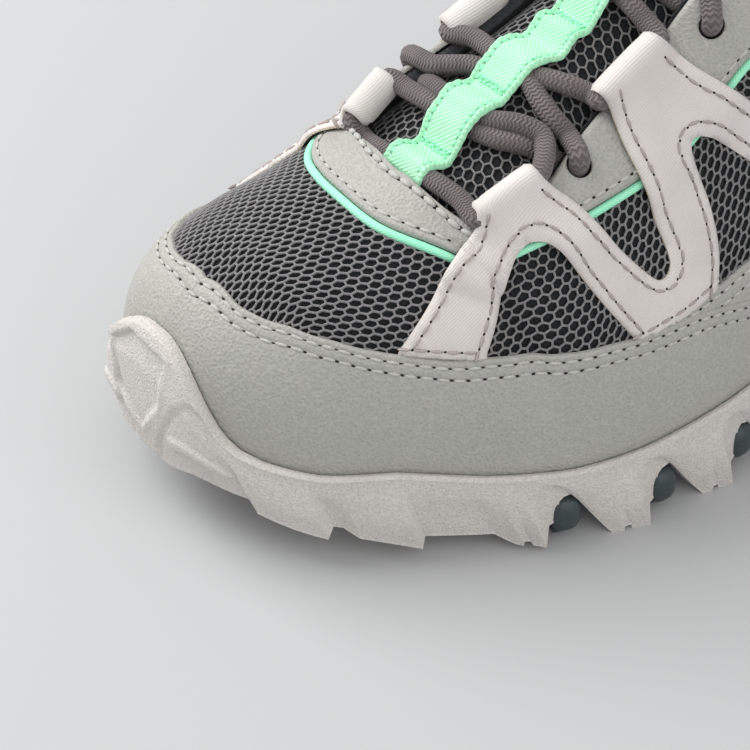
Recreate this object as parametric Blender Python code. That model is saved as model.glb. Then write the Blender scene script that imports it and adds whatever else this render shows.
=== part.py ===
"""Left low-cut outdoor shoe: hollow upper, tongue, insole, overlays and laces on a lugged sole."""

import math

import bmesh
import bpy
import numpy as np
from mathutils import Vector
from mathutils.geometry import delaunay_2d_cdt

for old in list(bpy.data.objects):
    bpy.data.objects.remove(old, do_unlink=True)

# Frame: tables give s back from the toe, y towards the inner side and z up from the floor, in mm
MM = 0.001
CENTRE_S = 124.91
CENTRE_Y = -1.645

# Walls and clearances
WALL = 2.2
COLLAR_WALL = 3.0
GAP = 0.35
GUARD_T = 1.2
STAY_T = 1.3
STRAP_T = 1.3
RIM_GAP = GUARD_T + 2 * GAP + 0.25
STRAP_OVER = STAY_T + 2 * GAP + 0.55

# Numbered stations run from the toe (0) to the heel (13): outer side negative, inner side positive
HEEL = 13
THROAT = 5
TOE_STEPS = (0.2, 0.4, 0.6, 0.8, 1.0, 1.2, 1.4)
REAR_STEPS = (9.45, 9.9, 10.4, 10.9, 11.35, 11.8, 12.2, 12.6)

# Vamp ridge: station, s, y, z
RIDGE = (
    (0, 23.0, 11.4, 60.4),
    (1, 26.5, 10.5, 62.3),
    (2, 30.5, 8.5, 64.3),
    (3, 37.5, 5.5, 67.5),
    (4, 47.0, 1.5, 71.2),
    (5, 57.0, -1.0, 75.0),
)

# Sections: name, feather s, y, z, fan and lean in degrees, rise, top s, y, z, top pitch, top reach
TOE_SECTION = ("toe", 5.5, 13.0, 24.0, 0, 9, 26, 0, 0, 0, 0, 14)
HEEL_SECTION = ("heel", 248.0, 0.0, 26.0, 180, 6, 24, 246.0, 0.0, 103.0, 84, 26)
OUTER_SECTIONS = (
    TOE_SECTION,
    ("toe side", 9.0, -4.5, 22.5, 30, 7, 26, 0, 0, 0, 0, 17),
    ("toe corner", 20.5, -21.0, 20.0, 54, 4, 27, 0, 0, 0, 0, 21),
    ("toe box", 37.0, -31.0, 17.5, 70, 3, 28, 0, 0, 0, 0, 25),
    ("ball front", 54.0, -40.0, 16.5, 80, 3, 29, 0, 0, 0, 0, 27),
    ("ball", 71.0, -47.0, 16.0, 87, 3, 29, 0, 0, 0, 0, 28),
    ("throat corner", 89.0, -50.0, 16.0, 90, 3, 29, 66.0, -25.0, 71.5, 32, 20),
    ("instep front", 112.0, -49.0, 17.0, 90, 3, 30, 88.0, -21.0, 82.5, 38, 22),
    ("instep", 138.0, -44.5, 19.0, 90, 2, 31, 114.0, -15.5, 97.0, 46, 24),
    ("eyestay top", 166.0, -39.5, 21.5, 90, 2, 33, 140.0, -18.0, 111.0, 58, 24),
    ("collar", 194.0, -36.5, 24.0, 92, 3, 26, 186.0, -28.0, 88.0, 84, 20),
    ("rear", 221.0, -33.0, 25.5, 105, 4, 24, 218.0, -24.0, 90.0, 84, 22),
    ("heel side", 240.0, -20.0, 26.0, 145, 5, 24, 238.0, -13.5, 99.0, 84, 24),
    HEEL_SECTION,
)
INNER_SECTIONS = (
    TOE_SECTION,
    ("toe side", 7.0, 29.0, 22.5, 28, 8, 29, 0, 0, 0, 0, 18),
    ("toe corner", 17.0, 39.5, 20.0, 56, 5, 32, 0, 0, 0, 0, 24),
    ("toe box", 31.5, 45.0, 18.0, 78, 3, 33, 0, 0, 0, 0, 27),
    ("ball front", 46.5, 47.0, 17.0, 88, 3, 34, 0, 0, 0, 0, 30),
    ("ball", 61.0, 46.8, 16.5, 92, 3, 36, 0, 0, 0, 0, 34),
    ("throat corner", 77.0, 44.5, 17.0, 95, 3, 32, 62.5, 23.5, 71.6, 32, 17),
    ("instep front", 100.0, 39.0, 18.8, 95, 3, 30, 80.0, 22.5, 82.2, 42, 19),
    ("instep", 128.0, 33.0, 21.5, 93, 2, 31, 105.0, 20.0, 95.2, 52, 22),
    ("eyestay top", 159.0, 29.2, 23.8, 90, 2, 33, 135.0, 19.5, 109.8, 64, 24),
    ("collar", 191.0, 30.0, 25.5, 88, 3, 26, 186.0, 27.0, 90.0, 84, 20),
    ("rear", 221.0, 30.5, 26.0, 100, 4, 24, 218.0, 24.0, 91.0, 84, 22),
    ("heel side", 240.0, 19.5, 26.0, 145, 5, 24, 238.0, 13.5, 99.0, 84, 24),
    HEEL_SECTION,
)

# Crown of the throat edge between the ridge's end and the throat corners
OUTER_CROWN = 0.8
INNER_CROWN = 2.0

# Sole rim: station, height, thickness
RIM = (
    (0.0, 46.5, 3.0),
    (0.45, 46.0, 3.0),
    (0.8, 40.0, 3.0),
    (1.15, 31.0, 2.6),
    (1.6, 25.5, 2.2),
    (2.2, 23.5, 2.0),
    (3.0, 23.5, 2.0),
    (4.0, 21.0, 2.0),
    (5.0, 19.8, 2.0),
    (6.0, 20.3, 2.0),
    (7.0, 22.0, 2.0),
    (8.0, 25.0, 2.2),
    (9.5, 28.0, 2.4),
    (11.0, 31.0, 2.6),
    (13.0, 34.0, 3.0),
)

# Sole underside along the shoe: s, ground clearance, height of the recess over the lugs
KEEL = (
    (-2.0, 15.0, 19.0),
    (10.0, 12.0, 16.5),
    (20.0, 8.5, 14.0),
    (31.0, 5.0, 12.0),
    (43.0, 2.0, 10.5),
    (60.0, 0.0, 9.6),
    (118.0, 0.0, 9.6),
    (130.0, 1.2, 10.5),
    (150.0, 3.5, 12.0),
    (172.0, 3.0, 12.0),
    (188.0, 0.0, 11.0),
    (240.0, 0.0, 11.0),
    (256.0, 2.5, 12.0),
)

# Rim lugs: end of the gap ahead, front edge, rear edge, start of the gap behind, notch height
OUTER_LUGS = (
    (15.5, 17.0, 24.5, 25.5, 3.0),
    (27.0, 31.0, 42.0, 43.0, 3.2),
    (45.0, 57.0, 66.0, 67.5, 9.3),
    (71.5, 80.0, 89.0, 90.5, 9.3),
    (95.0, 104.0, 112.0, 113.5, 9.3),
    (118.0, 127.0, 135.0, 136.5, 9.0),
    (141.0, 150.0, 158.0, 159.5, 8.4),
    (164.0, 173.0, 181.0, 182.5, 8.6),
    (187.0, 195.0, 204.0, 205.5, 10.5),
    (210.0, 217.0, 226.0, 227.5, 10.5),
    (232.0, 235.0, 240.5, 242.0, 10.5),
)
INNER_LUGS = (
    (13.0, 15.0, 22.0, 23.0, 3.0),
    (25.0, 29.0, 39.0, 40.0, 3.2),
    (42.0, 53.0, 62.0, 63.5, 9.3),
    (67.5, 76.0, 85.0, 86.5, 9.3),
    (91.0, 100.0, 108.0, 109.5, 9.3),
    (114.0, 123.0, 131.0, 132.5, 9.0),
    (137.0, 147.0, 155.0, 156.5, 8.4),
    (161.0, 171.0, 179.0, 180.5, 8.6),
    (185.0, 194.0, 203.0, 204.5, 10.5),
    (209.0, 217.0, 226.0, 227.5, 10.5),
    (232.0, 235.0, 240.5, 242.0, 10.5),
)
LUG_DEPTH = 10.0
FLARE_FRONT = 4.2
FLARE_REAR = 6.0
FLARE_GAP = 3.2
RAKE = 6.0
TOE_FLARE = 5.2
PLATE_T = 3.2

# Edge heights of the leather bands over the floor: station, height
GUARD_TOP = (
    (0.0, 56.5), (0.8, 56.5), (1.6, 55.0), (2.2, 54.0), (2.7, 52.7), (3.3, 50.2), (3.9, 48.9),
    (4.4, 48.6), (5.4, 48.1), (6.2, 47.6), (6.95, 46.4), (7.6, 42.5), (8.4, 37.0), (9.2, 31.0),
)
FOXING_TOP = (
    (6.42, 47.6), (6.95, 47.9), (7.4, 49.6), (7.7, 51.0), (8.5, 54.0), (9.5, 57.0), (11.0, 62.0), (13.0, 66.0),
)

# Eyestay round the throat: stations along the throat from its middle, outer edge s, y in plan
EYESTAY = (
    (-4.25, 154.2, -28.0),
    (-3.85, 140.5, -26.6),
    (-3.44, 127.7, -26.1),
    (-2.90, 114.0, -28.2),
    (-2.34, 100.5, -30.1),
    (-1.78, 84.4, -31.4),
    (-1.35, 72.5, -31.0),
    (-1.00, 62.8, -28.2),
    (-0.62, 56.6, -22.6),
    (-0.30, 51.2, -15.6),
    (-0.04, 46.9, -6.5),
    (0.16, 46.0, 5.0),
    (0.40, 46.6, 12.0),
    (0.62, 48.8, 19.5),
    (0.82, 53.5, 25.5),
    (1.00, 59.5, 29.2),
    (1.30, 66.0, 31.0),
    (1.66, 74.0, 31.5),
    (2.06, 84.0, 31.0),
    (2.48, 96.0, 29.8),
    (2.90, 108.0, 28.5),
    (3.46, 122.0, 27.0),
    (3.85, 135.0, 26.5),
    (4.25, 148.0, 26.5),
)
STAY_EDGE_UP = 0.99
PIPING_W = 2.4
PIPING_T = 1.25

# Zigzag strap outline: station, fraction up the section (1 is the throat edge)
STRAP = (
    (3.42, 0.475), (4.00, 0.575), (4.56, 0.680), (4.90, 0.745), (5.50, 0.862), (5.96, 0.965), (6.10, 1.030),
    (6.70, 1.030), (6.79, 0.900), (6.82, 0.760), (6.86, 0.600), (6.90, 0.530), (6.97, 0.507), (7.05, 0.530),
    (7.24, 0.655), (7.34, 0.775), (7.40, 0.900), (7.42, 1.030),
    (8.00, 1.030), (8.34, 0.870), (8.85, 0.640), (9.20, 0.450),
    (8.75, 0.430), (8.40, 0.590), (8.10, 0.710), (7.96, 0.745), (7.86, 0.720),
    (7.72, 0.565), (7.54, 0.450), (7.40, 0.397),
    (6.95, 0.400), (6.48, 0.430), (6.40, 0.540), (6.42, 0.750), (6.38, 0.860), (6.27, 0.905), (6.10, 0.885),
    (5.45, 0.705), (4.92, 0.520), (4.44, 0.422), (3.95, 0.437),
)
INNER_SET_BACK = 0.7
LOOPS = ((6.14, 6.66), (7.46, 7.96))
LOOP_IN = 5.2
LOOP_UP = 4.0
LOOP_R = 4.3
LOOP_BORE = 3.1

# Eyelet holes in the eyestay: station, fraction up
EYELETS = ((6.95, 0.935), (8.42, 0.890))
EYELET_SIDES = 8
EYELET_R = 2.9

# Tongue: s, middle height, outer edge y, z, inner edge y, z, overhang past the edges
TONGUE = (
    (49.0, 63.4, -22.0, 54.0, 21.0, 55.5, 3.0),
    (57.0, 68.8, -22.5, 60.0, 22.0, 62.5, 3.5),
    (66.0, 75.0, -24.5, 66.0, 23.5, 68.6, 3.5),
    (74.0, 80.4, -24.2, 70.0, 23.0, 73.0, 4.0),
    (82.0, 85.4, -22.2, 73.6, 22.0, 77.2, 4.0),
    (92.0, 91.2, -19.8, 78.2, 21.0, 81.6, 4.0),
    (102.0, 96.6, -17.6, 82.6, 20.0, 86.4, 3.5),
    (114.0, 102.6, -15.5, 89.5, 19.0, 93.5, 2.5),
    (125.0, 108.0, -14.8, 98.0, 17.6, 101.0, 1.5),
    (138.0, 114.0, -14.8, 105.0, 15.2, 105.5, 0.8),
    (153.0, 121.0, -16.4, 110.0, 16.8, 110.0, 0.8),
)
TONGUE_ROUND = 2.5
TONGUE_T = 4.0

# Webbing tape on the tongue
WEBBING_FRONT = 58.8
WEBBING_REAR = 147.0
WEBBING_W = 11.6
WEBBING_T = 1.4
WEBBING_Y = -0.5
TACK_LIFT = 0.5
DRAPE = 0.085

# Lace strands: row, outer end s, y, lift off the tongue, inner end s, y, lift, over the other strand
LACE_R = 2.4
LACES = (
    ("lace_row_1", 64.5, -17.0, 4.2, 61.5, 15.0, 4.0, 0),
    ("lace_row_2", 81.5, -16.0, 4.4, 76.0, 14.5, 0.3, 1),
    ("lace_row_2", 82.5, -13.5, 0.3, 72.5, 17.0, 4.4, 0),
    ("lace_row_3", 89.5, -15.5, 5.6, 88.0, 15.5, 4.2, 1),
    ("lace_row_3", 98.5, -12.5, 4.6, 80.5, 16.0, 5.2, 0),
    ("lace_row_4", 114.5, -9.5, 4.4, 111.5, 12.0, 0.4, 1),
    ("lace_row_4", 118.0, -8.5, 0.4, 105.0, 14.0, 4.4, 0),
)


class Curve:
    """Cubic spline through rows at knots 0, 1, 2 ..., open or closed."""

    def __init__(self, rows, closed=False):
        rows = np.array(rows, float)
        n = len(rows)
        m = np.eye(n)
        rhs = np.zeros_like(rows)
        for i in range(n):
            if closed or 0 < i < n - 1:
                a = (i - 1) % n
                b = (i + 1) % n
                m[i] = 0.0
                m[i, i] = 4.0
                m[i, a] += 1.0
                m[i, b] += 1.0
                rhs[i] = 6.0 * (rows[a] - 2.0 * rows[i] + rows[b])
        self.rows = rows
        self.bend = np.linalg.solve(m, rhs)
        self.closed = closed

    def __call__(self, t):
        t = np.asarray(t, float)
        n = len(self.rows)
        i = np.floor(t).astype(int)
        if not self.closed:
            i = np.clip(i, 0, n - 2)
        f = (t - i)[..., None]
        g = 1.0 - f
        a = i % n
        b = (i + 1) % n
        bow = ((g**3 - g) * self.bend[a] + (f**3 - f) * self.bend[b]) / 6.0
        return g * self.rows[a] + f * self.rows[b] + bow


class Last:
    """Outer face of the upper: a Bezier section per station, from the feather edge to the ridge or throat."""

    def __init__(self):
        self.ridge = Curve([row[1:] for row in RIDGE])
        ring = [(-1, row) for row in OUTER_SECTIONS[::-1]] + [(1, row) for row in INNER_SECTIONS[1:-1]]
        self.base = Curve([row[1:4] for _, row in ring], True)
        self.inward = Curve([self.fan(side, row) for side, row in ring], True)
        self.rise = Curve([self.lift(side, row) for side, row in ring], True)
        self.reach = Curve([row[11:12] for _, row in ring], True)
        middle = tuple(RIDGE[-1][1:]) + (0.0,)
        line = [middle] + [row[7:11] for row in OUTER_SECTIONS[THROAT + 1:]]
        line += [row[7:11] for row in INNER_SECTIONS[-2:THROAT:-1]] + [middle]
        self.throat = Curve(line)
        self.throat_end = len(line) - 1

    def fan(self, side, row):
        """Level direction from the feather edge towards the middle of the shoe."""
        return math.cos(math.radians(row[4])), -side * math.sin(math.radians(row[4])), 0.0

    def lift(self, side, row):
        """Handle that stands the section up from its feather edge."""
        lean = math.radians(row[5])
        x, y, _ = self.fan(side, row)
        return -x * math.sin(lean) * row[6], -y * math.sin(lean) * row[6], math.cos(lean) * row[6]

    def controls(self, st):
        """Four Bezier points of the section at each station."""
        turn = st + HEEL
        base = self.base(turn)
        level = self.inward(turn)
        level = level / np.linalg.norm(level, axis=-1)[..., None]
        far = np.abs(st)
        on_vamp = (far <= THROAT)[..., None]
        near = np.minimum(far, THROAT - 0.001)
        step = self.ridge(near + 0.001) - self.ridge(near)
        slope = step[..., 2] / step[..., 0]
        along = np.maximum(far - THROAT, 0)
        edge = self.throat(np.where(st < 0, along, self.throat_end - along))
        crown = np.where(st < 0, OUTER_CROWN, INNER_CROWN) * np.sin(np.minimum(along, 1.0) * math.pi)
        edge[..., 2] += crown
        top = np.where(on_vamp, self.ridge(np.minimum(far, THROAT)), edge[..., :3])
        pitch = np.radians(edge[..., 3])
        up = np.array((0.0, 0.0, 1.0))
        on_ridge = level + up * (slope * level[..., 0])[..., None]
        on_edge = level * np.cos(pitch)[..., None] + up * np.sin(pitch)[..., None]
        handle = np.where(on_vamp, on_ridge, on_edge)
        handle = handle / np.linalg.norm(handle, axis=-1)[..., None]
        return base, base + self.rise(turn), top - handle * self.reach(turn), top

    def point(self, st, up):
        """Points at stations and fractions up the section, carried on straight past the top."""
        st, up = np.broadcast_arrays(np.asarray(st, float), np.asarray(up, float))
        a, b, c, d = self.controls(st)
        v = np.minimum(up, 1.0)[..., None]
        w = 1.0 - v
        past = np.maximum(up - 1.0, 0.0)[..., None]
        return w**3 * a + 3 * w * w * v * b + 3 * w * v * v * c + v**3 * d + past * 3.0 * (d - c)

    def normal(self, st, up):
        """Outward unit normals."""
        st, up = np.broadcast_arrays(np.asarray(st, float), np.asarray(up, float))
        v = np.clip(up, 0.01, 0.985)
        across = self.point(st, v + 0.01) - self.point(st, v - 0.01)
        along = self.point(st + 0.4, v) - self.point(st - 0.4, v)
        n = np.cross(across, along)
        return n / np.linalg.norm(n, axis=-1)[..., None]

    def place(self, st, up, lift):
        """Points lifted off the face."""
        return self.point(st, up) + self.normal(st, up) * np.asarray(lift, float)[..., None]

    def up_at(self, st, height):
        """Fraction up the section at a height over the floor."""
        ups = np.linspace(0.0, 1.0, 81)
        found = []
        for one, z in zip(np.atleast_1d(st), np.atleast_1d(height)):
            found.append(np.interp(z, self.point(np.full(81, one), ups)[:, 2], ups))
        return np.array(found)

    def chart(self, s, y):
        """Station and fraction up of the face over plan points near the throat."""
        want = np.stack([s, y], -1)
        side = np.where(y < np.interp(s, self.ridge.rows[:, 0], self.ridge.rows[:, 1]), -1.0, 1.0)
        far, up = np.meshgrid(np.linspace(3.4, 9.6, 125), np.linspace(0.45, 1.0, 56), indexing="ij")
        far = far.ravel()
        up = up.ravel()
        at = np.zeros(want.shape)
        for one in (-1.0, 1.0):
            gap = want[..., None, :] - self.point(one * far, up)[:, :2]
            near = np.argmin((gap**2).sum(-1), -1)
            at[side == one] = np.stack([one * far[near], up[near]], -1)[side == one]
        for _ in range(5):
            here = self.point(at[..., 0], at[..., 1])[..., :2]
            along = (self.point(at[..., 0] + 0.01, at[..., 1])[..., :2] - here) / 0.01
            across = (self.point(at[..., 0], at[..., 1] - 0.01)[..., :2] - here) / -0.01
            move = np.linalg.solve(np.stack([along, across], -1), (want - here)[..., None])[..., 0]
            at = at + np.clip(move, -0.02, 0.02)
            at[..., 1] = np.minimum(at[..., 1], 1.0)
        return at[..., 0], at[..., 1]

    def out(self, st):
        """Level outward normal of the feather edge."""
        d = self.base(st + HEEL + 0.002) - self.base(st + HEEL - 0.002)
        n = np.stack([-d[..., 1], d[..., 0], 0 * d[..., 0]], -1)
        return n / np.linalg.norm(n, axis=-1)[..., None]


last = Last()
shoe = bpy.data.collections.new("outdoor_shoe")
tools = bpy.data.collections.new("cutters")
bpy.context.scene.collection.children.link(shoe)
bpy.context.scene.collection.children.link(tools)


def finish(name, colour, roughness):
    """Plain surface finish."""
    mat = bpy.data.materials.new(name)
    mat.use_nodes = True
    shader = mat.node_tree.nodes["Principled BSDF"]
    shader.inputs["Base Color"].default_value = (*colour, 1.0)
    shader.inputs["Roughness"].default_value = roughness
    shader.inputs["Metallic"].default_value = 0.0
    return mat


MESH = finish("net_textile", (0.05, 0.05, 0.055), 0.9)
LEATHER = finish("grey_leather", (0.34, 0.345, 0.32), 0.6)
RUBBER = finish("pale_rubber", (0.66, 0.64, 0.62), 0.7)
DARK = finish("dark_rubber", (0.04, 0.05, 0.052), 0.6)
RIBBED = finish("ribbed_strap", (0.64, 0.62, 0.6), 0.75)
MINT = finish("mint_tape", (0.28, 0.82, 0.5), 0.8)
CORD = finish("taupe_cord", (0.12, 0.1, 0.1), 0.85)
FOAM = finish("insole_cloth", (0.1, 0.1, 0.11), 0.95)


def solid(name, points, faces, mat, where=None):
    """One closed mesh object from points in the shoe's millimetre frame."""
    pts = (np.array(points, float) - (CENTRE_S, CENTRE_Y, 0.0)) * MM
    mesh = bpy.data.meshes.new(name)
    mesh.from_pydata(pts.tolist(), [], faces)
    bm = bmesh.new()
    bm.from_mesh(mesh)
    bmesh.ops.triangulate(bm, faces=bm.faces)
    bmesh.ops.recalc_face_normals(bm, faces=bm.faces)
    bm.to_mesh(mesh)
    bm.free()
    obj = bpy.data.objects.new(name, mesh)
    if mat:
        mesh.materials.append(mat)
    (where or shoe).objects.link(obj)
    return obj


def combine(obj, other, operation):
    """Exact Boolean with a piece kept in the cutters collection."""
    other.hide_render = True
    other.display_type = "WIRE"
    mod = obj.modifiers.new(other.name, "BOOLEAN")
    mod.operation = operation
    mod.solver = "EXACT"
    mod.object = other
    return obj


def layers(name, low, high, mat, closed=False, where=None):
    """Closed solid between two grids of points, rows by columns."""
    rows, cols = low.shape[:2]
    pts = np.concatenate([low.reshape(-1, 3), high.reshape(-1, 3)])
    top = rows * cols
    faces = []
    last_row = rows if closed else rows - 1
    for i in range(last_row):
        a = i * cols
        b = (i + 1) % rows * cols
        for j in range(cols - 1):
            faces.append((a + j, b + j, b + j + 1, a + j + 1))
            faces.append((top + a + j, top + a + j + 1, top + b + j + 1, top + b + j))
        faces.append((a, top + a, top + b, b))
        c = cols - 1
        faces.append((a + c, b + c, top + b + c, top + a + c))
    if not closed:
        for a in (0, (rows - 1) * cols):
            for j in range(cols - 1):
                faces.append((a + j, a + j + 1, top + a + j + 1, top + a + j))
    return solid(name, pts, faces, mat, where)


def spread(table, count):
    """Rows spread evenly along a spline through a table."""
    return Curve(table)(np.linspace(0, len(table) - 1, count))


def interp(table, column, at):
    """Linear look-up in a table by its first column."""
    table = np.array(table)
    return np.interp(at, table[:, 0], table[:, column])


# Upper
def upper():
    """Shell with its vamp closed over the ridge, open at the throat, collar and underneath."""
    half = [0, *TOE_STEPS] + list(np.linspace(1.8, 5, 9)) + list(np.linspace(5.4, 9, 11)) + list(REAR_STEPS)
    sts = np.array([-HEEL] + [-v for v in half[:0:-1]] + half)
    ups = np.array((0.0, 0.18, 0.34, 0.48, 0.62, 0.75, 0.88, 1.0))
    n = len(sts)
    m = len(ups)
    grid_st, grid_up = np.meshgrid(sts, ups, indexing="ij")
    pad = np.clip((np.abs(grid_st) - 9.0) / 1.5, 0, 1) * np.clip((grid_up - 0.6) / 0.2, 0, 1)
    wall = WALL + (COLLAR_WALL - WALL) * pad
    skin = last.point(grid_st, grid_up)
    lining = last.place(grid_st, grid_up, -wall)
    pts = np.concatenate([skin.reshape(-1, 3), lining.reshape(-1, 3)])

    def at(layer, i, j):
        if j == m - 1 and -THROAT - 0.01 < sts[i] < 0:
            i = n - i
        return layer * n * m + i * m + j

    faces = []
    for i in range(n):
        k = (i + 1) % n
        for layer in (0, 1):
            for j in range(m - 1):
                face = (at(layer, i, j), at(layer, k, j), at(layer, k, j + 1), at(layer, i, j + 1))
                faces.append(face[::-1] if layer else face)
        faces.append((at(0, i, 0), at(1, i, 0), at(1, k, 0), at(0, k, 0)))
        if min(abs(sts[i]), abs(sts[k])) > THROAT - 0.01:
            faces.append((at(0, i, m - 1), at(0, k, m - 1), at(1, k, m - 1), at(1, i, m - 1)))
    used = sorted({v for face in faces for v in face})
    order = {v: i for i, v in enumerate(used)}
    return solid("upper", pts[used], [[order[v] for v in face] for face in faces], MESH)


# Sole outline
def station(side, s):
    """Station on one side whose feather edge is s from the toe."""
    sts = np.linspace(0, HEEL, 521)
    return np.interp(s, last.base(side * sts + HEEL)[:, 0], sts)


def keel(s):
    """Ground clearance and recess height under the sole."""
    return interp(KEEL, 1, s), interp(KEEL, 2, s)


def sole_columns(side, lugs):
    """Columns along one side: rim station, foot station, foot height, flare."""
    cols = []
    for st in TOE_STEPS[:-1]:
        s = last.base(side * st + HEEL)[0] - 5.0
        cols.append((side * st, side * st, keel(s)[0], TOE_FLARE))
    for ahead, front, rear, behind, notch in lugs:
        edges = ((ahead, notch, FLARE_GAP), (front, 0, FLARE_FRONT), (rear, 0, FLARE_REAR), (behind, notch, FLARE_GAP))
        for s, drop, flare in edges:
            lean = RAKE * np.interp(s, (14, 60, 190, 236), (0, 1, 1, 0))
            cols.append((side * station(side, s - lean), side * station(side, s), keel(s)[0] + drop, flare))
    for st in (12.3, 12.55, 12.8):
        cols.append((side * st, side * st, keel(252.0)[0], FLARE_REAR))
    return cols


def ring_solid(name, rings, mat, where=None):
    """Closed solid from rings of equal columns, capped across from side to side."""
    count, n = rings.shape[:2]
    half = n // 2
    faces = []
    for r in range(count - 1):
        for c in range(n):
            d = (c + 1) % n
            faces.append((r * n + c, r * n + d, (r + 1) * n + d, (r + 1) * n + c))
    for r in (0, count - 1):
        o = r * n
        faces.append((o, o + 1, o + n - 1))
        faces.append((o + half - 1, o + half, o + half + 1))
        for c in range(1, half - 1):
            faces.append((o + c, o + c + 1, o + n - c - 1, o + n - c))
    return solid(name, rings.reshape(-1, 3), faces, mat, where)


def whole_ring():
    """Columns right round the sole: toe, outer side, heel, inner side back to the toe."""
    toe = (0.0, 0.0, keel(-1.0)[0], TOE_FLARE)
    heel = (-float(HEEL), -float(HEEL), keel(254.0)[0], FLARE_REAR)
    return [toe] + sole_columns(-1, OUTER_LUGS) + [heel] + sole_columns(1, INNER_LUGS)[::-1]


# Midsole with the toe bumper
def midsole():
    """Cup that holds the upper, with raked rim lugs and a tall toe bumper."""
    cols = np.array(whole_ring())
    rim, foot, low, flare = cols.T
    high = interp(RIM, 1, np.abs(rim))
    thick = interp(RIM, 2, np.abs(rim))
    up = last.up_at(rim, high)
    out = last.out(rim)
    base = last.base(rim + HEEL)
    sole = last.base(foot + HEEL)
    away = last.out(foot)
    flat = np.array((1.0, 1.0, 0.0))
    level = np.array((0.0, 0.0, 1.0))
    rings = [base + out * RIM_GAP - level * GAP]
    for part in (0.3, 0.65, 1.0):
        rings.append(last.place(rim, up * part, np.full(len(rim), RIM_GAP)))
    crest = rings[-1] + out * thick[:, None] - level * 0.3
    rings.append(crest)
    over = ((crest - base) * out).sum(1)
    bumper = np.clip(1.5 - np.abs(rim), 0, 1)
    for part, swell in ((0.3, 1.4), (0.7, 1.0)):
        mid = base + (sole - base) * part
        side = out + (away - out) * part
        side = side / np.linalg.norm(side, axis=1)[:, None]
        offset = over + (flare - over) * part + swell * (0.35 + bumper)
        z = crest[:, 2] + (low - crest[:, 2]) * part
        rings.append(mid * flat + side * offset[:, None] + level * z[:, None])
    s = sole[:, 0]
    roof = keel(s)[1]
    for offset, z in ((flare, low), (0 * flare - LUG_DEPTH, low), (0 * flare - LUG_DEPTH - 1.2, roof)):
        rings.append(sole * flat + away * offset[:, None] + level * z[:, None])
    return ring_solid("midsole", np.array(rings), RUBBER)


def bumper_plate(name, face, size, depth):
    """Six-sided block on the toe, its flat face leaning back a little."""
    tall, wide, lean = size, size * 0.78, math.radians(8)
    outline = ((-0.55, 1.0), (0.55, 1.0), (1.0, 0.1), (0.5, -1.0), (-0.5, -1.0), (-1.0, 0.1))
    pts = []
    for back in (0.0, depth):
        for y, z in outline:
            pts.append((face + back + z * tall * math.sin(lean), 12.5 + y * wide, 33.5 + z * tall))
    faces = [range(6), range(6, 12)] + [(i, (i + 1) % 6, (i + 1) % 6 + 6, i + 6) for i in range(6)]
    return solid(name, pts, [tuple(f) for f in faces], None, tools)


# Outsole
def outsole():
    """Dark tread plate in the midsole's recess, with lugs under it and out through the gaps."""
    half = np.linspace(0, HEEL, 18)
    foot = np.concatenate([-half, half[-2:0:-1]])
    edge = last.base(foot + HEEL) - last.out(foot) * (LUG_DEPTH + 1.2 + GAP + 0.4)
    roof = keel(last.base(foot + HEEL)[:, 0])[1] - GAP - 0.15
    rings = [np.column_stack([edge[:, :2], roof - drop]) for drop in (0.0, PLATE_T)]
    plate = ring_solid("outsole", np.array(rings), DARK)
    pts = []
    faces = []

    def block(corners, bottom, top, taper):
        corners = np.array(corners)
        mid = corners.mean(0)
        o = len(pts)
        for x, y in mid + (corners - mid) * taper:
            pts.append((x, y, bottom))
        for x, y in corners:
            pts.append((x, y, top))
        faces.extend([(o + 3, o + 2, o + 1, o), (o + 4, o + 5, o + 6, o + 7)])
        faces.extend([(o + i, o + (i + 1) % 4, o + (i + 1) % 4 + 4, o + i + 4) for i in range(4)])

    for side, lugs in ((-1, OUTER_LUGS), (1, INNER_LUGS)):
        for lug, after in zip(lugs[2:-1], lugs[3:]):
            ends = side * station(side, np.array((lug[3] + 0.9, after[0] - 0.9)))
            inner = last.base(ends + HEEL) - last.out(ends) * (LUG_DEPTH + 3.5)
            outer = last.base(ends + HEEL) + last.out(ends) * 2.0
            s = (lug[3] + after[0]) / 2
            ground, roof = keel(s)
            roof = min(roof, ground + min(lug[4], after[4] + 5.0)) - GAP - 0.2
            block([inner[0, :2], inner[1, :2], outer[1, :2], outer[0, :2]], ground + 0.8, roof, 0.86)
    for s in (38, 62, 86, 110, 136, 168, 196, 220):
        outer = last.base(-station(-1, s) + HEEL)
        inner = last.base(station(1, s) + HEEL)
        for part in (0.36, 0.64):
            x, y, _ = outer + (inner - outer) * part
            tilt = 4.0 if part < 0.5 else -4.0
            corners = ((x - 5, y - 7), (x + 5, y - 7 + tilt * 0.3), (x + 5, y + 7), (x - 5, y + 7 - tilt * 0.3))
            block(corners, keel(s)[0], keel(s)[1] - GAP - 1.8, 0.85)
    lugs = solid("tread_lugs", pts, faces, None, tools)
    return combine(plate, lugs, "UNION")


# Insole
def insole():
    """Thin footbed lying inside the upper."""
    half = np.linspace(0, HEEL, 27)
    sts = np.concatenate([-half, half[-2:0:-1]])
    edge = last.base(sts + HEEL) - last.out(sts) * (WALL + 1.0)
    rings = [edge + (0, 0, z) for z in (0.1, 3.4)]
    return ring_solid("insole", np.array(rings), FOAM)


# Tongue and webbing tape
def tongue_top(s, y):
    """Height of the tongue's upper face."""
    row = [interp(TONGUE, c, s) for c in range(1, 7)]
    side = np.where(y < 0, -row[1], row[3])
    drop = np.where(y < 0, row[0] - row[2], row[0] - row[4])
    return row[0] - drop * (np.abs(y) / side) ** TONGUE_ROUND


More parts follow.
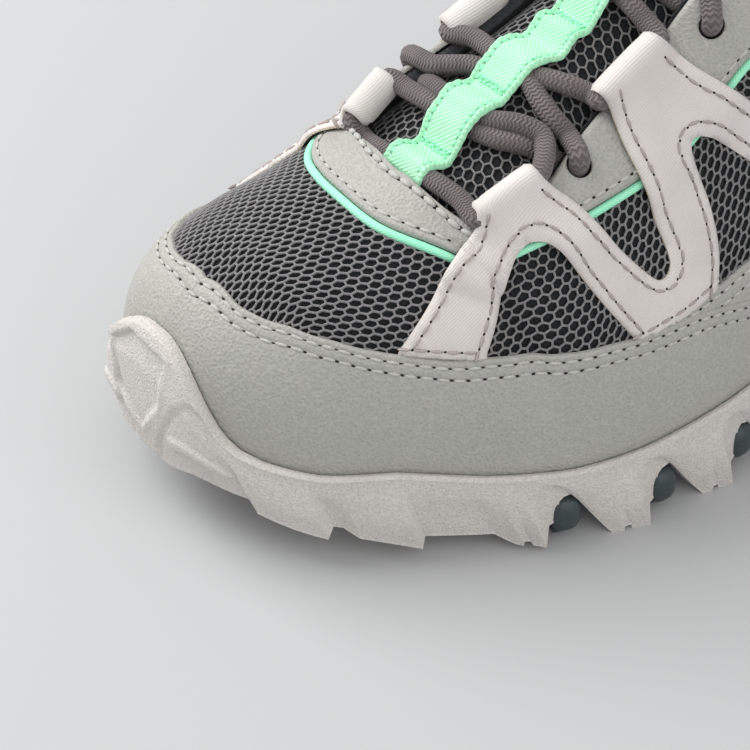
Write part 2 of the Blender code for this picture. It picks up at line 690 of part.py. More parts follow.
def tongue():
    """Padded flap under the throat edges."""
    s = np.concatenate([np.linspace(49, 82, 6), np.linspace(92, 153, 6)])
    low = interp(TONGUE, 2, s) - interp(TONGUE, 6, s)
    high = interp(TONGUE, 4, s) + interp(TONGUE, 6, s)
    across = np.linspace(0, 1, 9)
    y = low[:, None] + (high - low)[:, None] * across
    ss = np.repeat(s[:, None], 9, 1)
    z = tongue_top(ss, y)
    edge = 1.0 - np.clip((np.abs(across - 0.5) - 0.4) / 0.1, 0, 1) * 0.55
    top = np.stack([ss, y, z], -1)
    under = np.stack([ss, y, z - TONGUE_T * edge], -1)
    return layers("tongue", under, top, MESH)


def webbing():
    """Tape down the tongue, tacked between the lace crossings and draped over them."""
    s = np.linspace(WEBBING_FRONT, WEBBING_REAR, 44)
    z = tongue_top(s, 0 * s) + TACK_LIFT
    for row in LACES:
        for x, y, top in strand_path(row):
            if abs(y - WEBBING_Y) < WEBBING_W / 2 + 1.5:
                z = np.maximum(z, top + LACE_R + 0.45 - DRAPE * np.maximum(np.abs(s - x) - 1.2, 0) ** 2)
    y = np.array((-0.5, 0.5)) * WEBBING_W + WEBBING_Y
    low = np.stack([np.repeat(s[:, None], 2, 1), np.repeat(y[None, :], len(s), 0), np.repeat(z[:, None], 2, 1)], -1)
    return layers("webbing", low, low + (0, 0, WEBBING_T), MINT)


# Leather bands
def band(name, sts, low, high, rows, thick, mat, closed=False):
    """Strip of the upper's own face between two edges."""
    part = np.linspace(0, 1, rows)
    up = low[:, None] + (high - low)[:, None] * part
    st = np.repeat(sts[:, None], rows, 1)
    lift = np.full(st.shape, GAP + 0.15)
    return layers(name, last.place(st, up, lift), last.place(st, up, lift + thick), mat, closed)


def tuck(sts):
    """Lower edge of the leather, just inside the sole's rim."""
    return last.up_at(sts, np.maximum(interp(RIM, 1, np.abs(sts)) - 3.0, last.base(sts + HEEL)[:, 2] + 0.6))


def mudguard():
    """Toe guard round the front, tapering back along both sides."""
    far = np.array([0, *TOE_STEPS, *np.linspace(1.8, 5, 9), *np.linspace(5.4, 9.2, 9)])
    sts = np.concatenate([-far[:0:-1], far])
    high = last.up_at(sts, interp(GUARD_TOP, 1, np.abs(sts)))
    return band("mudguard", sts, tuck(sts), high, 5, GUARD_T, LEATHER)


def foxing():
    """Rear counter band, behind and above the toe guard."""
    far = np.array([6.9, 7.1, 7.5, 8.0, 8.6, 9.3, *REAR_STEPS, HEEL])
    sts = np.concatenate([-far, far[-2::-1]])
    guard = interp(GUARD_TOP, 1, np.abs(sts)) + 1.1
    low = np.where(np.abs(sts) > 9.4, tuck(sts), np.maximum(tuck(sts), last.up_at(sts, guard)))
    high = np.maximum(last.up_at(sts, interp(FOXING_TOP, 1, np.abs(sts))), low + 0.004)
    return band("foxing", sts, low, high, 4, GUARD_T, LEATHER)


def stay_rows(count):
    """Throat station and plan position of the outer edge for rows round the eyestay."""
    rows = spread(EYESTAY, count)
    throat = np.sign(rows[:, 0]) * (THROAT + np.abs(rows[:, 0]))
    return throat, rows[:, 1:]


def eyestay():
    """Leather bar round the throat."""
    throat, outer = stay_rows(47)
    inner = last.point(throat, STAY_EDGE_UP)[:, :2]
    part = np.linspace(0, 1, 4)[1:, None]
    plan = inner[:, None] + (outer - inner)[:, None] * part
    st, up = last.chart(plan[..., 0], plan[..., 1])
    st = np.column_stack([throat, st])
    up = np.column_stack([np.full(len(throat), STAY_EDGE_UP), up])
    lift = np.full(st.shape, GAP + 0.25)
    return layers("eyestay", last.place(st, up, lift), last.place(st, up, lift + STAY_T), LEATHER)


def stay_edge(count):
    """Outer edge of the eyestay on the face, with the direction away from the throat."""
    plan = stay_rows(count)[1]
    st, up = last.chart(plan[:, 0], plan[:, 1])
    edge = last.point(st, up)
    normal = last.normal(st, up)
    along = np.gradient(edge, axis=0)
    out = np.cross(normal, along)
    out = out / np.linalg.norm(out, axis=1)[:, None]
    return edge, normal, out


def piping():
    """Narrow rolled edge outside the eyestay."""
    edge, normal, out = stay_edge(47)
    low = []
    high = []
    for part, crown in ((0.0, 0.75), (0.5, 1.0), (1.0, 0.6)):
        foot = edge + out * (GAP + 0.1 + part * PIPING_W)
        low.append(foot + normal * GAP)
        high.append(foot + normal * (GAP + PIPING_T * crown))
    return layers("piping", np.stack(low, 1), np.stack(high, 1), MINT)


# Zigzag straps with lace loops
def inside(points, outline):
    """Which chart points lie in a closed outline."""
    x, y = points.T
    hit = np.zeros(len(points), bool)
    for (x0, y0), (x1, y1) in zip(outline, np.roll(outline, -1, 0)):
        crosses = (y0 > y) != (y1 > y)
        rise = y1 - y0 if y1 != y0 else 1.0
        hit ^= crosses & (x < (x1 - x0) * (y - y0) / rise + x0)
    return hit


def strap(name, side):
    """Stitched strap zigzagging from the toe guard to the lace loops."""
    outline = []
    for a, b in zip(np.array(STRAP), np.roll(np.array(STRAP), -1, 0)):
        cuts = max(1, round(math.hypot((b[0] - a[0]) * 20, (b[1] - a[1]) * 70) / 6.5))
        outline += [a + (b - a) * i / cuts for i in range(cuts)]
    outline = np.array(outline)
    if side > 0:
        front = np.clip((6.2 - outline[:, 0]) / 1.2, 0, 1) * np.clip((outline[:, 1] - 0.6) / 0.2, 0, 1)
        outline[:, 0] += INNER_SET_BACK * front
    gx, gy = np.meshgrid(np.arange(3.5, 9.3, 0.3), np.arange(0.4, 1.03, 0.085))
    seeds = np.column_stack([gx.ravel(), gy.ravel()])
    far = np.abs((seeds[:, None] - outline[None]) * (20, 70))
    seeds = seeds[inside(seeds, outline) & (np.hypot(far[..., 0], far[..., 1]).min(1) > 2.6)]
    flat = np.concatenate([outline, seeds]) * (20, 70)
    ring = [(i, (i + 1) % len(outline)) for i in range(len(outline))]
    verts, _, tris, _, _, _ = delaunay_2d_cdt([Vector(p) for p in flat], ring, [], 1, 0.0001)
    chart = np.array([v[:] for v in verts]) / (20, 70)
    n = len(chart)
    st = side * chart[:, 0]
    face = last.point(st, chart[:, 1])
    edge, _, _ = stay_edge(80)
    edge = edge[edge[:, 1] * side > 16.0]
    edge = edge[np.argsort(edge[:, 0])]
    over = np.interp(face[:, 0], edge[:, 0], edge[:, 2])
    ease = np.clip((face[:, 2] - over + 7.5) / 4.0, 0, 1)
    lift = GAP + (STRAP_OVER - GAP) * ease * ease * (3 - 2 * ease) + 0.1
    pts = np.concatenate([last.place(st, chart[:, 1], lift), last.place(st, chart[:, 1], lift + STRAP_T)])
    faces = [tuple(t) for t in tris] + [tuple(v + n for v in t[::-1]) for t in tris]
    faces += [(i, (i + 1) % len(outline), (i + 1) % len(outline) + n, i + n) for i in range(len(outline))]
    body = solid(name, pts, faces, RIBBED)
    for i, (start, end) in enumerate(LOOPS):
        combine(body, loop_tube(f"{name}_loop_{i + 1}", side, start, end), "UNION")
    return body


def loop_tube(name, side, start, end):
    """Folded strap end: a short tube over the throat edge for the lace."""
    sts = side * np.linspace(start, end, 4)
    edge = last.point(sts, 1.0)
    inward = last.point(sts, 1.01) - edge
    inward = inward / np.linalg.norm(inward, axis=1)[:, None]
    normal = last.normal(sts, 1.0)
    middle = edge + inward * LOOP_IN + normal * LOOP_UP
    turn = np.linspace(0, math.tau, 10, endpoint=False)
    spokes = inward[:, None] * np.cos(turn)[:, None] + normal[:, None] * np.sin(turn)[:, None]
    low = np.swapaxes(middle[:, None] + spokes * LOOP_BORE, 0, 1)
    high = np.swapaxes(middle[:, None] + spokes * LOOP_R, 0, 1)
    return layers(name, low, high, None, True, tools)


# Eyelets
def punch(targets):
    """Round eyelet holes through the eyestay and the upper behind it."""
    for side in (-1, 1):
        for i, (st, up) in enumerate(EYELETS):
            at = last.point(side * st, up)
            axis = last.normal(side * st, up)
            across = np.cross(axis, (1.0, 0.0, 0.0))
            across = across / np.linalg.norm(across)
            other = np.cross(axis, across)
            pts = []
            for end in (-5.0, 5.0):
                for k in range(EYELET_SIDES):
                    a = k * math.tau / EYELET_SIDES
                    pts.append(at + axis * end + (across * math.cos(a) + other * math.sin(a)) * EYELET_R)
            n = EYELET_SIDES
            faces = [tuple(range(n)), tuple(range(n, 2 * n))]
            faces += [(k, (k + 1) % n, (k + 1) % n + n, k + n) for k in range(n)]
            hole = solid(f"eyelet_{side}_{i}", pts, faces, None, tools)
            for target in targets:
                combine(target, hole, "DIFFERENCE")


# Laces
def strand_path(row):
    """Centre line of one strand, laid over the tongue from the outer side to the inner side."""
    _, s0, y0, lift0, s1, y1, lift1, over = row
    part = np.linspace(0, 1, 9)
    s = s0 + (s1 - s0) * part
    y = y0 + (y1 - y0) * part
    middle = np.sin(part * math.pi) ** 2
    lift = (lift0 + (lift1 - lift0) * part) * (1 - middle) + over * 4.3 * middle
    return np.column_stack([s, y, tongue_top(s, y) + GAP + 0.15 + LACE_R + lift])


def strand(name, row, mat, where):
    """Round cord along one strand's path."""
    path = strand_path(row)
    along = np.gradient(path, axis=0)
    along = along / np.linalg.norm(along, axis=1)[:, None]
    level = np.cross(along, (0.0, 0.0, 1.0))
    level = level / np.linalg.norm(level, axis=1)[:, None]
    rise = np.cross(level, along)
    turn = np.linspace(0, math.tau, 6, endpoint=False)
    ring = path[:, None] + LACE_R * (level[:, None] * np.cos(turn)[:, None] + rise[:, None] * np.sin(turn)[:, None])
    n = len(turn)
    faces = [tuple(range(n)), tuple(range((len(path) - 1) * n, len(path) * n))]
    for i in range(len(path) - 1):
        faces += [(i * n + k, i * n + (k + 1) % n, (i + 1) * n + (k + 1) % n, (i + 1) * n + k) for k in range(n)]
    return solid(name, ring.reshape(-1, 3), faces, mat, where)


def laces():
    """Lace bar at the throat and crossings above it."""
    rows = {}
    for i, row in enumerate(LACES):
        name = row[0]
        if name in rows:
            combine(rows[name], strand(f"{name}_under_{i}", row, None, tools), "UNION")
        else:
            rows[name] = strand(name, row, CORD, None)


body = upper()
cup = midsole()
combine(cup, bumper_plate("bumper_boss", -2.6, 14.0, 3.8), "UNION")
combine(cup, bumper_plate("bumper_recess", -8.0, 12.0, 6.3), "DIFFERENCE")
outsole()
insole()
tongue()
mudguard()
foxing()
stay = eyestay()
piping()
strap("strap_lateral", -1)
strap("strap_medial", 1)
punch((body, stay))
webbing()
laces()
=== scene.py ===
"""Dressed left outdoor shoe: net upper, leather overlays, ribbed straps, laces and a lugged sole."""

import logging
import math
from dataclasses import dataclass, field
from enum import Enum

import bmesh
import bpy
import numpy as np
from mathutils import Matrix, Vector
from mathutils.geometry import delaunay_2d_cdt


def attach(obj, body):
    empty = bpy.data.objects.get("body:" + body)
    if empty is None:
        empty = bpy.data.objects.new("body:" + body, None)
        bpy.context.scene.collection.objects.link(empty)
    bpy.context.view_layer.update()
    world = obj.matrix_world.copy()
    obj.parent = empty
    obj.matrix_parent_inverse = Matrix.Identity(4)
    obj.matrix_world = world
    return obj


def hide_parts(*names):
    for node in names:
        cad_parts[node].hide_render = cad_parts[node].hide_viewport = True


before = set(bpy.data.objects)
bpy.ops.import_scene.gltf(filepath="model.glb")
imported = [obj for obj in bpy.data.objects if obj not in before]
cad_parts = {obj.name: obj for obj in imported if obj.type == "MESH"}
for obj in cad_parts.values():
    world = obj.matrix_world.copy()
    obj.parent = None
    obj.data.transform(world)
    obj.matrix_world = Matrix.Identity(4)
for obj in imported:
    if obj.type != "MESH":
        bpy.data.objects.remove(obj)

LOG = logging.getLogger("outdoor_shoe")
Points = np.ndarray
Colour = tuple[float, float, float]
Object = bpy.types.Object
Tree = bpy.types.NodeTree
Outputs = bpy.types.NodeOutputs
Socket = bpy.types.NodeSocket

# Frame: tables give s back from the toe, y towards the inner side and z up from the floor, in mm
MM = 0.001
CENTRE = np.array((124.91, -1.645, 0.0))
HEEL = 13
THROAT = 5
OUTER = -1
INNER = 1

# Clearances and thicknesses that the solids share
GAP = 0.35
WALL = 2.2
COLLAR_WALL = 3.0
GUARD_T = 1.2
STAY_T = 1.3
STRAP_T = 1.3
RIM_GAP = GUARD_T + 2 * GAP + 0.25
STRAP_OVER = STAY_T + 2 * GAP + 0.55
# Seams lie this far inside an edge
SEAM_IN = 1.9

# Vamp ridge: station, s, y, z
RIDGE = (
    (0, 23, 11.4, 60.4), (1, 26.5, 10.5, 62.3), (2, 30.5, 8.5, 64.3),
    (3, 37.5, 5.5, 67.5), (4, 47, 1.5, 71.2), (5, 57, -1, 75),
)

# Sections: feather s, y, z, fan and lean in degrees, rise, top s, y, z, top pitch, top reach
TOE_SECTION = (5.5, 13, 24, 0, 9, 26, 0, 0, 0, 0, 14)
HEEL_SECTION = (248, 0, 26, 180, 6, 24, 246, 0, 103, 84, 26)
OUTER_SECTIONS = (
    TOE_SECTION,
    (9, -4.5, 22.5, 30, 7, 26, 0, 0, 0, 0, 17),
    (20.5, -21, 20, 54, 4, 27, 0, 0, 0, 0, 21),
    (37, -31, 17.5, 70, 3, 28, 0, 0, 0, 0, 25),
    (54, -40, 16.5, 80, 3, 29, 0, 0, 0, 0, 27),
    (71, -47, 16, 87, 3, 29, 0, 0, 0, 0, 28),
    (89, -50, 16, 90, 3, 29, 66, -25, 71.5, 32, 20),
    (112, -49, 17, 90, 3, 30, 88, -21, 82.5, 38, 22),
    (138, -44.5, 19, 90, 2, 31, 114, -15.5, 97, 46, 24),
    (166, -39.5, 21.5, 90, 2, 33, 140, -18, 111, 58, 24),
    (194, -36.5, 24, 92, 3, 26, 186, -28, 88, 84, 20),
    (221, -33, 25.5, 105, 4, 24, 218, -24, 90, 84, 22),
    (240, -20, 26, 145, 5, 24, 238, -13.5, 99, 84, 24),
    HEEL_SECTION,
)
INNER_SECTIONS = (
    TOE_SECTION,
    (7, 29, 22.5, 28, 8, 29, 0, 0, 0, 0, 18),
    (17, 39.5, 20, 56, 5, 32, 0, 0, 0, 0, 24),
    (31.5, 45, 18, 78, 3, 33, 0, 0, 0, 0, 27),
    (46.5, 47, 17, 88, 3, 34, 0, 0, 0, 0, 30),
    (61, 46.8, 16.5, 92, 3, 36, 0, 0, 0, 0, 34),
    (77, 44.5, 17, 95, 3, 32, 62.5, 23.5, 71.6, 32, 17),
    (100, 39, 18.8, 95, 3, 30, 80, 22.5, 82.2, 42, 19),
    (128, 33, 21.5, 93, 2, 31, 105, 20, 95.2, 52, 22),
    (159, 29.2, 23.8, 90, 2, 33, 135, 19.5, 109.8, 64, 24),
    (191, 30, 25.5, 88, 3, 26, 186, 27, 90, 84, 20),
    (221, 30.5, 26, 100, 4, 24, 218, 24, 91, 84, 22),
    (240, 19.5, 26, 145, 5, 24, 238, 13.5, 99, 84, 24),
    HEEL_SECTION,
)
OUTER_CROWN = 0.8
INNER_CROWN = 2.0

# Sole rim: station, height, thickness
RIM = (
    (0, 46.4, 3), (0.15, 46.3, 3), (0.3, 45.9, 3), (0.45, 45, 3), (0.58, 43.7, 3), (0.7, 41.9, 3),
    (0.8, 39.8, 3), (0.9, 37.1, 2.9), (1, 34.1, 2.8), (1.1, 31.2, 2.7), (1.2, 28.9, 2.6), (1.35, 26.8, 2.4),
    (1.6, 25.3, 2.2), (2.2, 23.5, 2), (3, 23.5, 2), (4, 21, 2), (5, 19.8, 2), (6, 20.3, 2),
    (7, 22, 2), (8, 25, 2.2), (9.5, 28, 2.4), (11, 31, 2.6), (13, 34, 3),
)

# Edge heights of the leather bands over the floor: station, height
GUARD_TOP = (
    (0, 56.5), (0.8, 56.5), (1.6, 55), (2.2, 54), (2.7, 52.7), (3.3, 50.2), (3.9, 48.9), (4.4, 48.6),
    (5.4, 48.1), (6.2, 47.6), (6.95, 46.4), (7.6, 42.5), (8.4, 36.6), (8.8, 33.2), (9.2, 28.8),
)
FOXING_TOP = (
    (6.42, 47.6), (6.95, 47.9), (7.4, 49.6), (7.7, 51), (8.5, 54), (9.5, 57), (11, 62), (13, 66),
)
GUARD_END = GUARD_TOP[-1][0]

# Eyestay round the throat: stations along the throat from its middle, outer edge s, y in plan
EYESTAY = (
    (-4.25, 154.2, -28), (-3.85, 140.5, -26.6), (-3.44, 127.7, -26.1), (-2.9, 114, -28.2),
    (-2.34, 100.5, -30.1), (-1.78, 84.4, -31.4), (-1.35, 72.5, -31), (-1, 62.8, -28.2),
    (-0.62, 56.6, -22.6), (-0.3, 51.2, -15.6), (-0.04, 46.9, -6.5), (0.16, 46, 5),
    (0.4, 46.6, 12), (0.62, 48.8, 19.5), (0.82, 53.5, 25.5), (1, 59.5, 29.2),
    (1.3, 66, 31), (1.66, 74, 31.5), (2.06, 84, 31), (2.48, 96, 29.8),
    (2.9, 108, 28.5), (3.46, 122, 27), (3.85, 135, 26.5), (4.25, 148, 26.5),
)
STAY_EDGE_UP = 0.99

# Eyelet holes in the eyestay: station, fraction up
EYELETS = ((6.95, 0.935), (8.42, 0.890))
EYELET_R = 2.9

# Lace loops of the straps: first and last station, inward shift at each end, height over the face
LOOPS = {
    OUTER: ((5.84, 6.60, 0.7, 1.6, 4.35), (7.36, 7.95, 0.7, -0.6, 4.35)),
    INNER: ((5.88, 6.62, 2.4, 3.4, 2.4), (7.30, 7.90, 1.8, 2.0, 2.8)),
}

# Tongue: s, middle height, outer edge y, z, inner edge y, z, overhang past the edges
TONGUE = (
    (49, 63.4, -22, 54, 21, 55.5, 3), (57, 68.8, -22.5, 60, 22, 62.5, 3.5),
    (66, 75, -24.5, 66, 23.5, 68.6, 3.5), (74, 80.4, -24.2, 70, 23, 73, 4),
    (82, 85.4, -22.2, 73.6, 22, 77.2, 4), (92, 91.2, -19.8, 78.2, 21, 81.6, 4),
    (102, 96.6, -17.6, 82.6, 20, 86.4, 3.5), (114, 102.6, -15.5, 89.5, 19, 93.5, 2.5),
    (125, 108, -14.8, 98, 17.6, 101, 1.5), (138, 114, -14.8, 105, 15.2, 105.5, 0.8),
    (153, 121, -16.4, 110, 16.8, 110, 0.8),
)
TONGUE_ROUND = 2.5
TONGUE_T = 4.0

# Lace strands over the tongue, outer side first: knots s, y, lift
LACE_R = 2.3
LACE_LIE = 0.5
BAR_1 = (
    (62.8, -16.5, 3), (62, -11, 1.6), (61.3, -5.5, 0.7), (60.7, 2, 0.1), (60.3, 10, 0.1),
    (60.6, 17.5, 1.2),
)
CROSS_2_OVER = (
    (82.6, -18.2, 3.4), (80.4, -13.4, 1.8), (76.4, -6.5, 0.5), (75.2, 0, 0.1), (75, 6, 0.5),
    (76, 14.5, 0.3),
)
CROSS_2_UNDER = (
    (83, -19, 0), (79.6, -15.6, 0.1), (76, -11.4, -0.1), (73.8, -5, -0.5), (73, 0, -0.6),
    (72.4, 5, 0.4), (71.6, 12, 1.8), (71.6, 17.5, 3),
)
CROSS_3_OVER = (
    (88, -19.6, 3.2), (86.8, -16.4, 2.2), (86.3, -12, 1), (86.9, -7, 0.2), (87.3, -1, -0.1),
    (87, 6, 0.3), (87.2, 14.5, 2.4),
)
CROSS_3_UNDER = (
    (96, -16.4, 3), (92.2, -12.4, 1.4), (88.6, -6.2, -0.2), (85.8, -0.5, -1.2), (84.2, 5, -0.9),
    (82.4, 9, 0.4), (79.8, 13, 2), (78.2, 16.5, 3.2),
)
CROSS_4_OVER = ((112.4, -12.6, 3.6), (111.4, -9, 2), (110.8, -2, 0.9), (110.8, 5, 0.7), (111.5, 12, 0.4))
CROSS_4_UNDER = ((118, -8.5, 0.2), (113.5, -3.5, -0.6), (109.5, 2, -0.4), (106.5, 8, 1.4), (105, 14, 3.2))
STRANDS = (BAR_1, CROSS_2_OVER, CROSS_2_UNDER, CROSS_3_OVER, CROSS_3_UNDER, CROSS_4_OVER, CROSS_4_UNDER)


def linear(red: int, green: int, blue: int) -> Colour:
    """Display colour, 0 to 255 each, as linear light."""
    return tuple(((v / 255 + 0.055) / 1.055) ** 2.4 if v > 10 else v / 3294.6 for v in (red, green, blue))


def look_up(table: tuple, column: int, at: Points) -> Points:
    """Linear look-up in a table by its first column."""
    rows = np.array(table)
    return np.interp(at, rows[:, 0], rows[:, column])


def ease(x: Points) -> Points:
    """Smooth step from 0 to 1."""
    x = np.clip(x, 0.0, 1.0)
    return x * x * (3.0 - 2.0 * x)


def bell(x: Points) -> Points:
    """Bell curve, 1 at 0."""
    return np.exp(-(x**2))


def rounded(x: Points) -> Points:
    """Quarter round from 0 to 1."""
    return np.sqrt(1 - (1 - np.clip(x, 0, 1)) ** 2)


def read_along(at: Points, run: Points, rows: Points) -> Points:
    """Columns of rows, looked up along a run."""
    return np.stack([np.interp(at, run, column) for column in rows.T], -1)


def gap_to(points: Points, ring: Points, metric: Points) -> Points:
    """Distance in mm from each chart point to the nearest point of a ring."""
    return np.array([np.linalg.norm((ring - p) * metric, axis=1).min() for p in points])


def unit(v: Points) -> Points:
    """Vectors scaled to length one."""
    return v / np.maximum(np.linalg.norm(v, axis=-1), 1e-9)[..., None]


def run_of(points: Points) -> Points:
    """Distance along a path, or along each row of a grid.

    Args:
        points: path, or grid of paths.

    Returns:
        Distance at each point.
    """
    steps = np.linalg.norm(np.diff(points, axis=-2), axis=-1)
    first = np.zeros(steps.shape[:-1] + (1,))
    return np.concatenate([first, np.cumsum(steps, -1)], -1)


def inside(points: Points, outline: Points) -> Points:
    """Which plan or chart points lie in a closed outline.

    Args:
        points: places to test.
        outline: corners in order.

    Returns:
        True for each point inside.
    """
    x, y = points[..., 0], points[..., 1]
    hit = np.zeros(x.shape, bool)
    for (x0, y0), (x1, y1) in zip(outline, np.roll(outline, -1, 0)):
        crosses = (y0 > y) != (y1 > y)
        rise = y1 - y0 if y1 != y0 else 1.0
        hit ^= crosses & (x < (x1 - x0) * (y - y0) / rise + x0)
    return hit


class Curve:
    """Cubic spline through rows at knots 0, 1, 2 ..., open or closed."""

    def __init__(self, rows: list, closed: bool = False) -> None:
        """Solve the bends of the spline.

        Args:
            rows: points that the curve passes through.
            closed: whether the last point runs on to the first.
        """
        rows = np.array(rows, float)
        n = len(rows)
        m = np.eye(n)
        rhs = np.zeros_like(rows)
        for i in range(n):
            if closed or 0 < i < n - 1:
                a = (i - 1) % n
                b = (i + 1) % n
                m[i] = 0.0
                m[i, i] = 4.0
                m[i, a] += 1.0
                m[i, b] += 1.0
                rhs[i] = 6.0 * (rows[a] - 2.0 * rows[i] + rows[b])
        self.rows = rows
        self.bend = np.linalg.solve(m, rhs)
        self.closed = closed

    def __call__(self, t: Points) -> Points:
        """Points at knot values t.

        Args:
            t: knot values.

        Returns:
            One point for each value.
        """
        t = np.asarray(t, float)
        n = len(self.rows)
        i = np.floor(t).astype(int)
        if not self.closed:
            i = np.clip(i, 0, n - 2)
        f = (t - i)[..., None]
        g = 1.0 - f
        a = i % n
        b = (i + 1) % n
        bow = ((g**3 - g) * self.bend[a] + (f**3 - f) * self.bend[b]) / 6.0
        return g * self.rows[a] + f * self.rows[b] + bow

    def spread(self, count: int) -> Points:
        """Points spread evenly over the knots of an open curve."""
        return self(np.linspace(0, len(self.rows) - 1, count))


class Last:
    """Outer face of the upper: a Bezier section per station, from the feather edge to the ridge or throat."""

    def __init__(self) -> None:
        """Lay the splines through the section tables."""
        self.ridge = Curve([row[1:] for row in RIDGE])
        ring = [(OUTER, row) for row in OUTER_SECTIONS[::-1]] + [(INNER, row) for row in INNER_SECTIONS[1:-1]]
        self.base = Curve([row[0:3] for _, row in ring], True)
        self.inward = Curve([self.fan(side, row) for side, row in ring], True)
        self.rise = Curve([self.lift(side, row) for side, row in ring], True)
        self.reach = Curve([row[10:11] for _, row in ring], True)
        middle = tuple(RIDGE[-1][1:]) + (0.0,)
        line = [middle] + [row[6:10] for row in OUTER_SECTIONS[THROAT + 1:]]
        line += [row[6:10] for row in INNER_SECTIONS[-2:THROAT:-1]] + [middle]
        self.throat = Curve(line)
        self.throat_end = len(line) - 1

    def fan(self, side: int, row: tuple) -> tuple:
        """Level direction from the feather edge towards the middle of the shoe."""
        return math.cos(math.radians(row[3])), -side * math.sin(math.radians(row[3])), 0.0

    def lift(self, side: int, row: tuple) -> tuple:
        """Handle that stands the section up from its feather edge.

        Args:
            side: OUTER or INNER.
            row: the section's row.

        Returns:
            Handle from the edge.
        """
        lean = math.radians(row[4])
        x, y, _ = self.fan(side, row)
        return -x * math.sin(lean) * row[5], -y * math.sin(lean) * row[5], math.cos(lean) * row[5]

    def controls(self, st: Points) -> tuple:
        """Four Bezier points of the section at each station.

        Args:
            st: stations.

        Returns:
            The four points, feather edge first.
        """
        turn = st + HEEL
        base = self.base(turn)
        level = unit(self.inward(turn))
        far = np.abs(st)
        on_vamp = (far <= THROAT)[..., None]
        near = np.minimum(far, THROAT - 0.001)
        step = self.ridge(near + 0.001) - self.ridge(near)
        slope = step[..., 2] / step[..., 0]
        along = np.maximum(far - THROAT, 0)
        edge = self.throat(np.where(st < 0, along, self.throat_end - along))
        crown = np.where(st < 0, OUTER_CROWN, INNER_CROWN) * np.sin(np.minimum(along, 1.0) * math.pi)
        edge[..., 2] += crown
        top = np.where(on_vamp, self.ridge(np.minimum(far, THROAT)), edge[..., :3])
        pitch = np.radians(edge[..., 3])
        up = np.array((0.0, 0.0, 1.0))
        on_ridge = level + up * (slope * level[..., 0])[..., None]
        on_edge = level * np.cos(pitch)[..., None] + up * np.sin(pitch)[..., None]
        handle = unit(np.where(on_vamp, on_ridge, on_edge))
        return base, base + self.rise(turn), top - handle * self.reach(turn), top

    def point(self, st: Points, up: Points) -> Points:
        """Points at stations and fractions up the section, carried on straight past the top.

        Args:
            st: stations.
            up: fractions up.

        Returns:
            Points on the face.
        """
        st, up = np.broadcast_arrays(np.asarray(st, float), np.asarray(up, float))
        a, b, c, d = self.controls(st)
        v = np.minimum(up, 1.0)[..., None]
        w = 1.0 - v
        past = np.maximum(up - 1.0, 0.0)[..., None]
        return w**3 * a + 3 * w * w * v * b + 3 * w * v * v * c + v**3 * d + past * 3.0 * (d - c)

    def normal(self, st: Points, up: Points) -> Points:
        """Outward unit normals.

        Args:
            st: stations.
            up: fractions up.

        Returns:
            Unit vectors.
        """
        st, up = np.broadcast_arrays(np.asarray(st, float), np.asarray(up, float))
        v = np.clip(up, 0.01, 0.985)
        across = self.point(st, v + 0.01) - self.point(st, v - 0.01)
        along = self.point(st + 0.4, v) - self.point(st - 0.4, v)
        return unit(np.cross(across, along))

    def place(self, st: Points, up: Points, lift: Points) -> Points:
        """Points lifted off the face."""
        return self.point(st, up) + self.normal(st, up) * np.asarray(lift, float)[..., None]

    def up_at(self, st: Points, height: Points) -> Points:
        """Fraction up the section at a height over the floor.

        Args:
            st: stations.
            height: height at each.

        Returns:
            Fractions up.
        """
        ups = np.linspace(0.0, 1.0, 81)
        heights = self.point(np.asarray(st)[:, None], ups)[..., 2]
        return np.array([np.interp(z, row, ups) for z, row in zip(height, heights)])

    def chart(self, s: Points, y: Points) -> tuple[Points, Points]:
        """Station and fraction up of the face over plan points near the throat.

        Args:
            s: distances from the toe.
            y: distances across.

        Returns:
            Stations and fractions up.
        """
        want = np.stack([s, y], -1)
        side = np.where(y < np.interp(s, self.ridge.rows[:, 0], self.ridge.rows[:, 1]), -1.0, 1.0)
        far, up = np.meshgrid(np.linspace(3.4, 9.6, 125), np.linspace(0.45, 1.0, 56), indexing="ij")
        far = far.ravel()
        up = up.ravel()
        at = np.zeros(want.shape)
        for one in (-1.0, 1.0):
            gap = want[..., None, :] - self.point(one * far, up)[:, :2]
            near = np.argmin((gap**2).sum(-1), -1)
            at[side == one] = np.stack([one * far[near], up[near]], -1)[side == one]
        for _ in range(5):
            here = self.point(at[..., 0], at[..., 1])[..., :2]
            along = (self.point(at[..., 0] + 0.01, at[..., 1])[..., :2] - here) / 0.01
            across = (self.point(at[..., 0], at[..., 1] - 0.01)[..., :2] - here) / -0.01
            move = np.linalg.solve(np.stack([along, across], -1), (want - here)[..., None])[..., 0]
            at = at + np.clip(move, -0.02, 0.02)
            at[..., 1] = np.minimum(at[..., 1], 1.0)
        return at[..., 0], at[..., 1]

    def out(self, st: Points) -> Points:
        """Level outward normal of the feather edge."""
        d = self.base(st + HEEL + 0.002) - self.base(st + HEEL - 0.002)
        return unit(np.stack([-d[..., 1], d[..., 0], 0 * d[..., 0]], -1))

    def station(self, side: int, s: Points) -> Points:
        """Station on one side whose feather edge is s from the toe."""
        sts = np.linspace(0, HEEL, 521)
        return np.interp(s, self.base(side * sts + HEEL)[:, 0], sts)


def tongue_top(s: Points, y: Points) -> Points:
    """Height of the tongue's upper face.

    Args:
        s: distance from the toe.
        y: distance across.

    Returns:
        Height over the floor.
    """
    total = 0.0
    for shift in (-3.0, 0.0, 3.0):
        row = [look_up(TONGUE, c, np.asarray(s) + shift) for c in range(1, 6)]
        side = np.where(y < 0, -row[1], row[3])
        drop = np.where(y < 0, row[0] - row[2], row[0] - row[4])
        total = total + row[0] - drop * (np.abs(y) / side) ** TONGUE_ROUND
    return total / 3.0


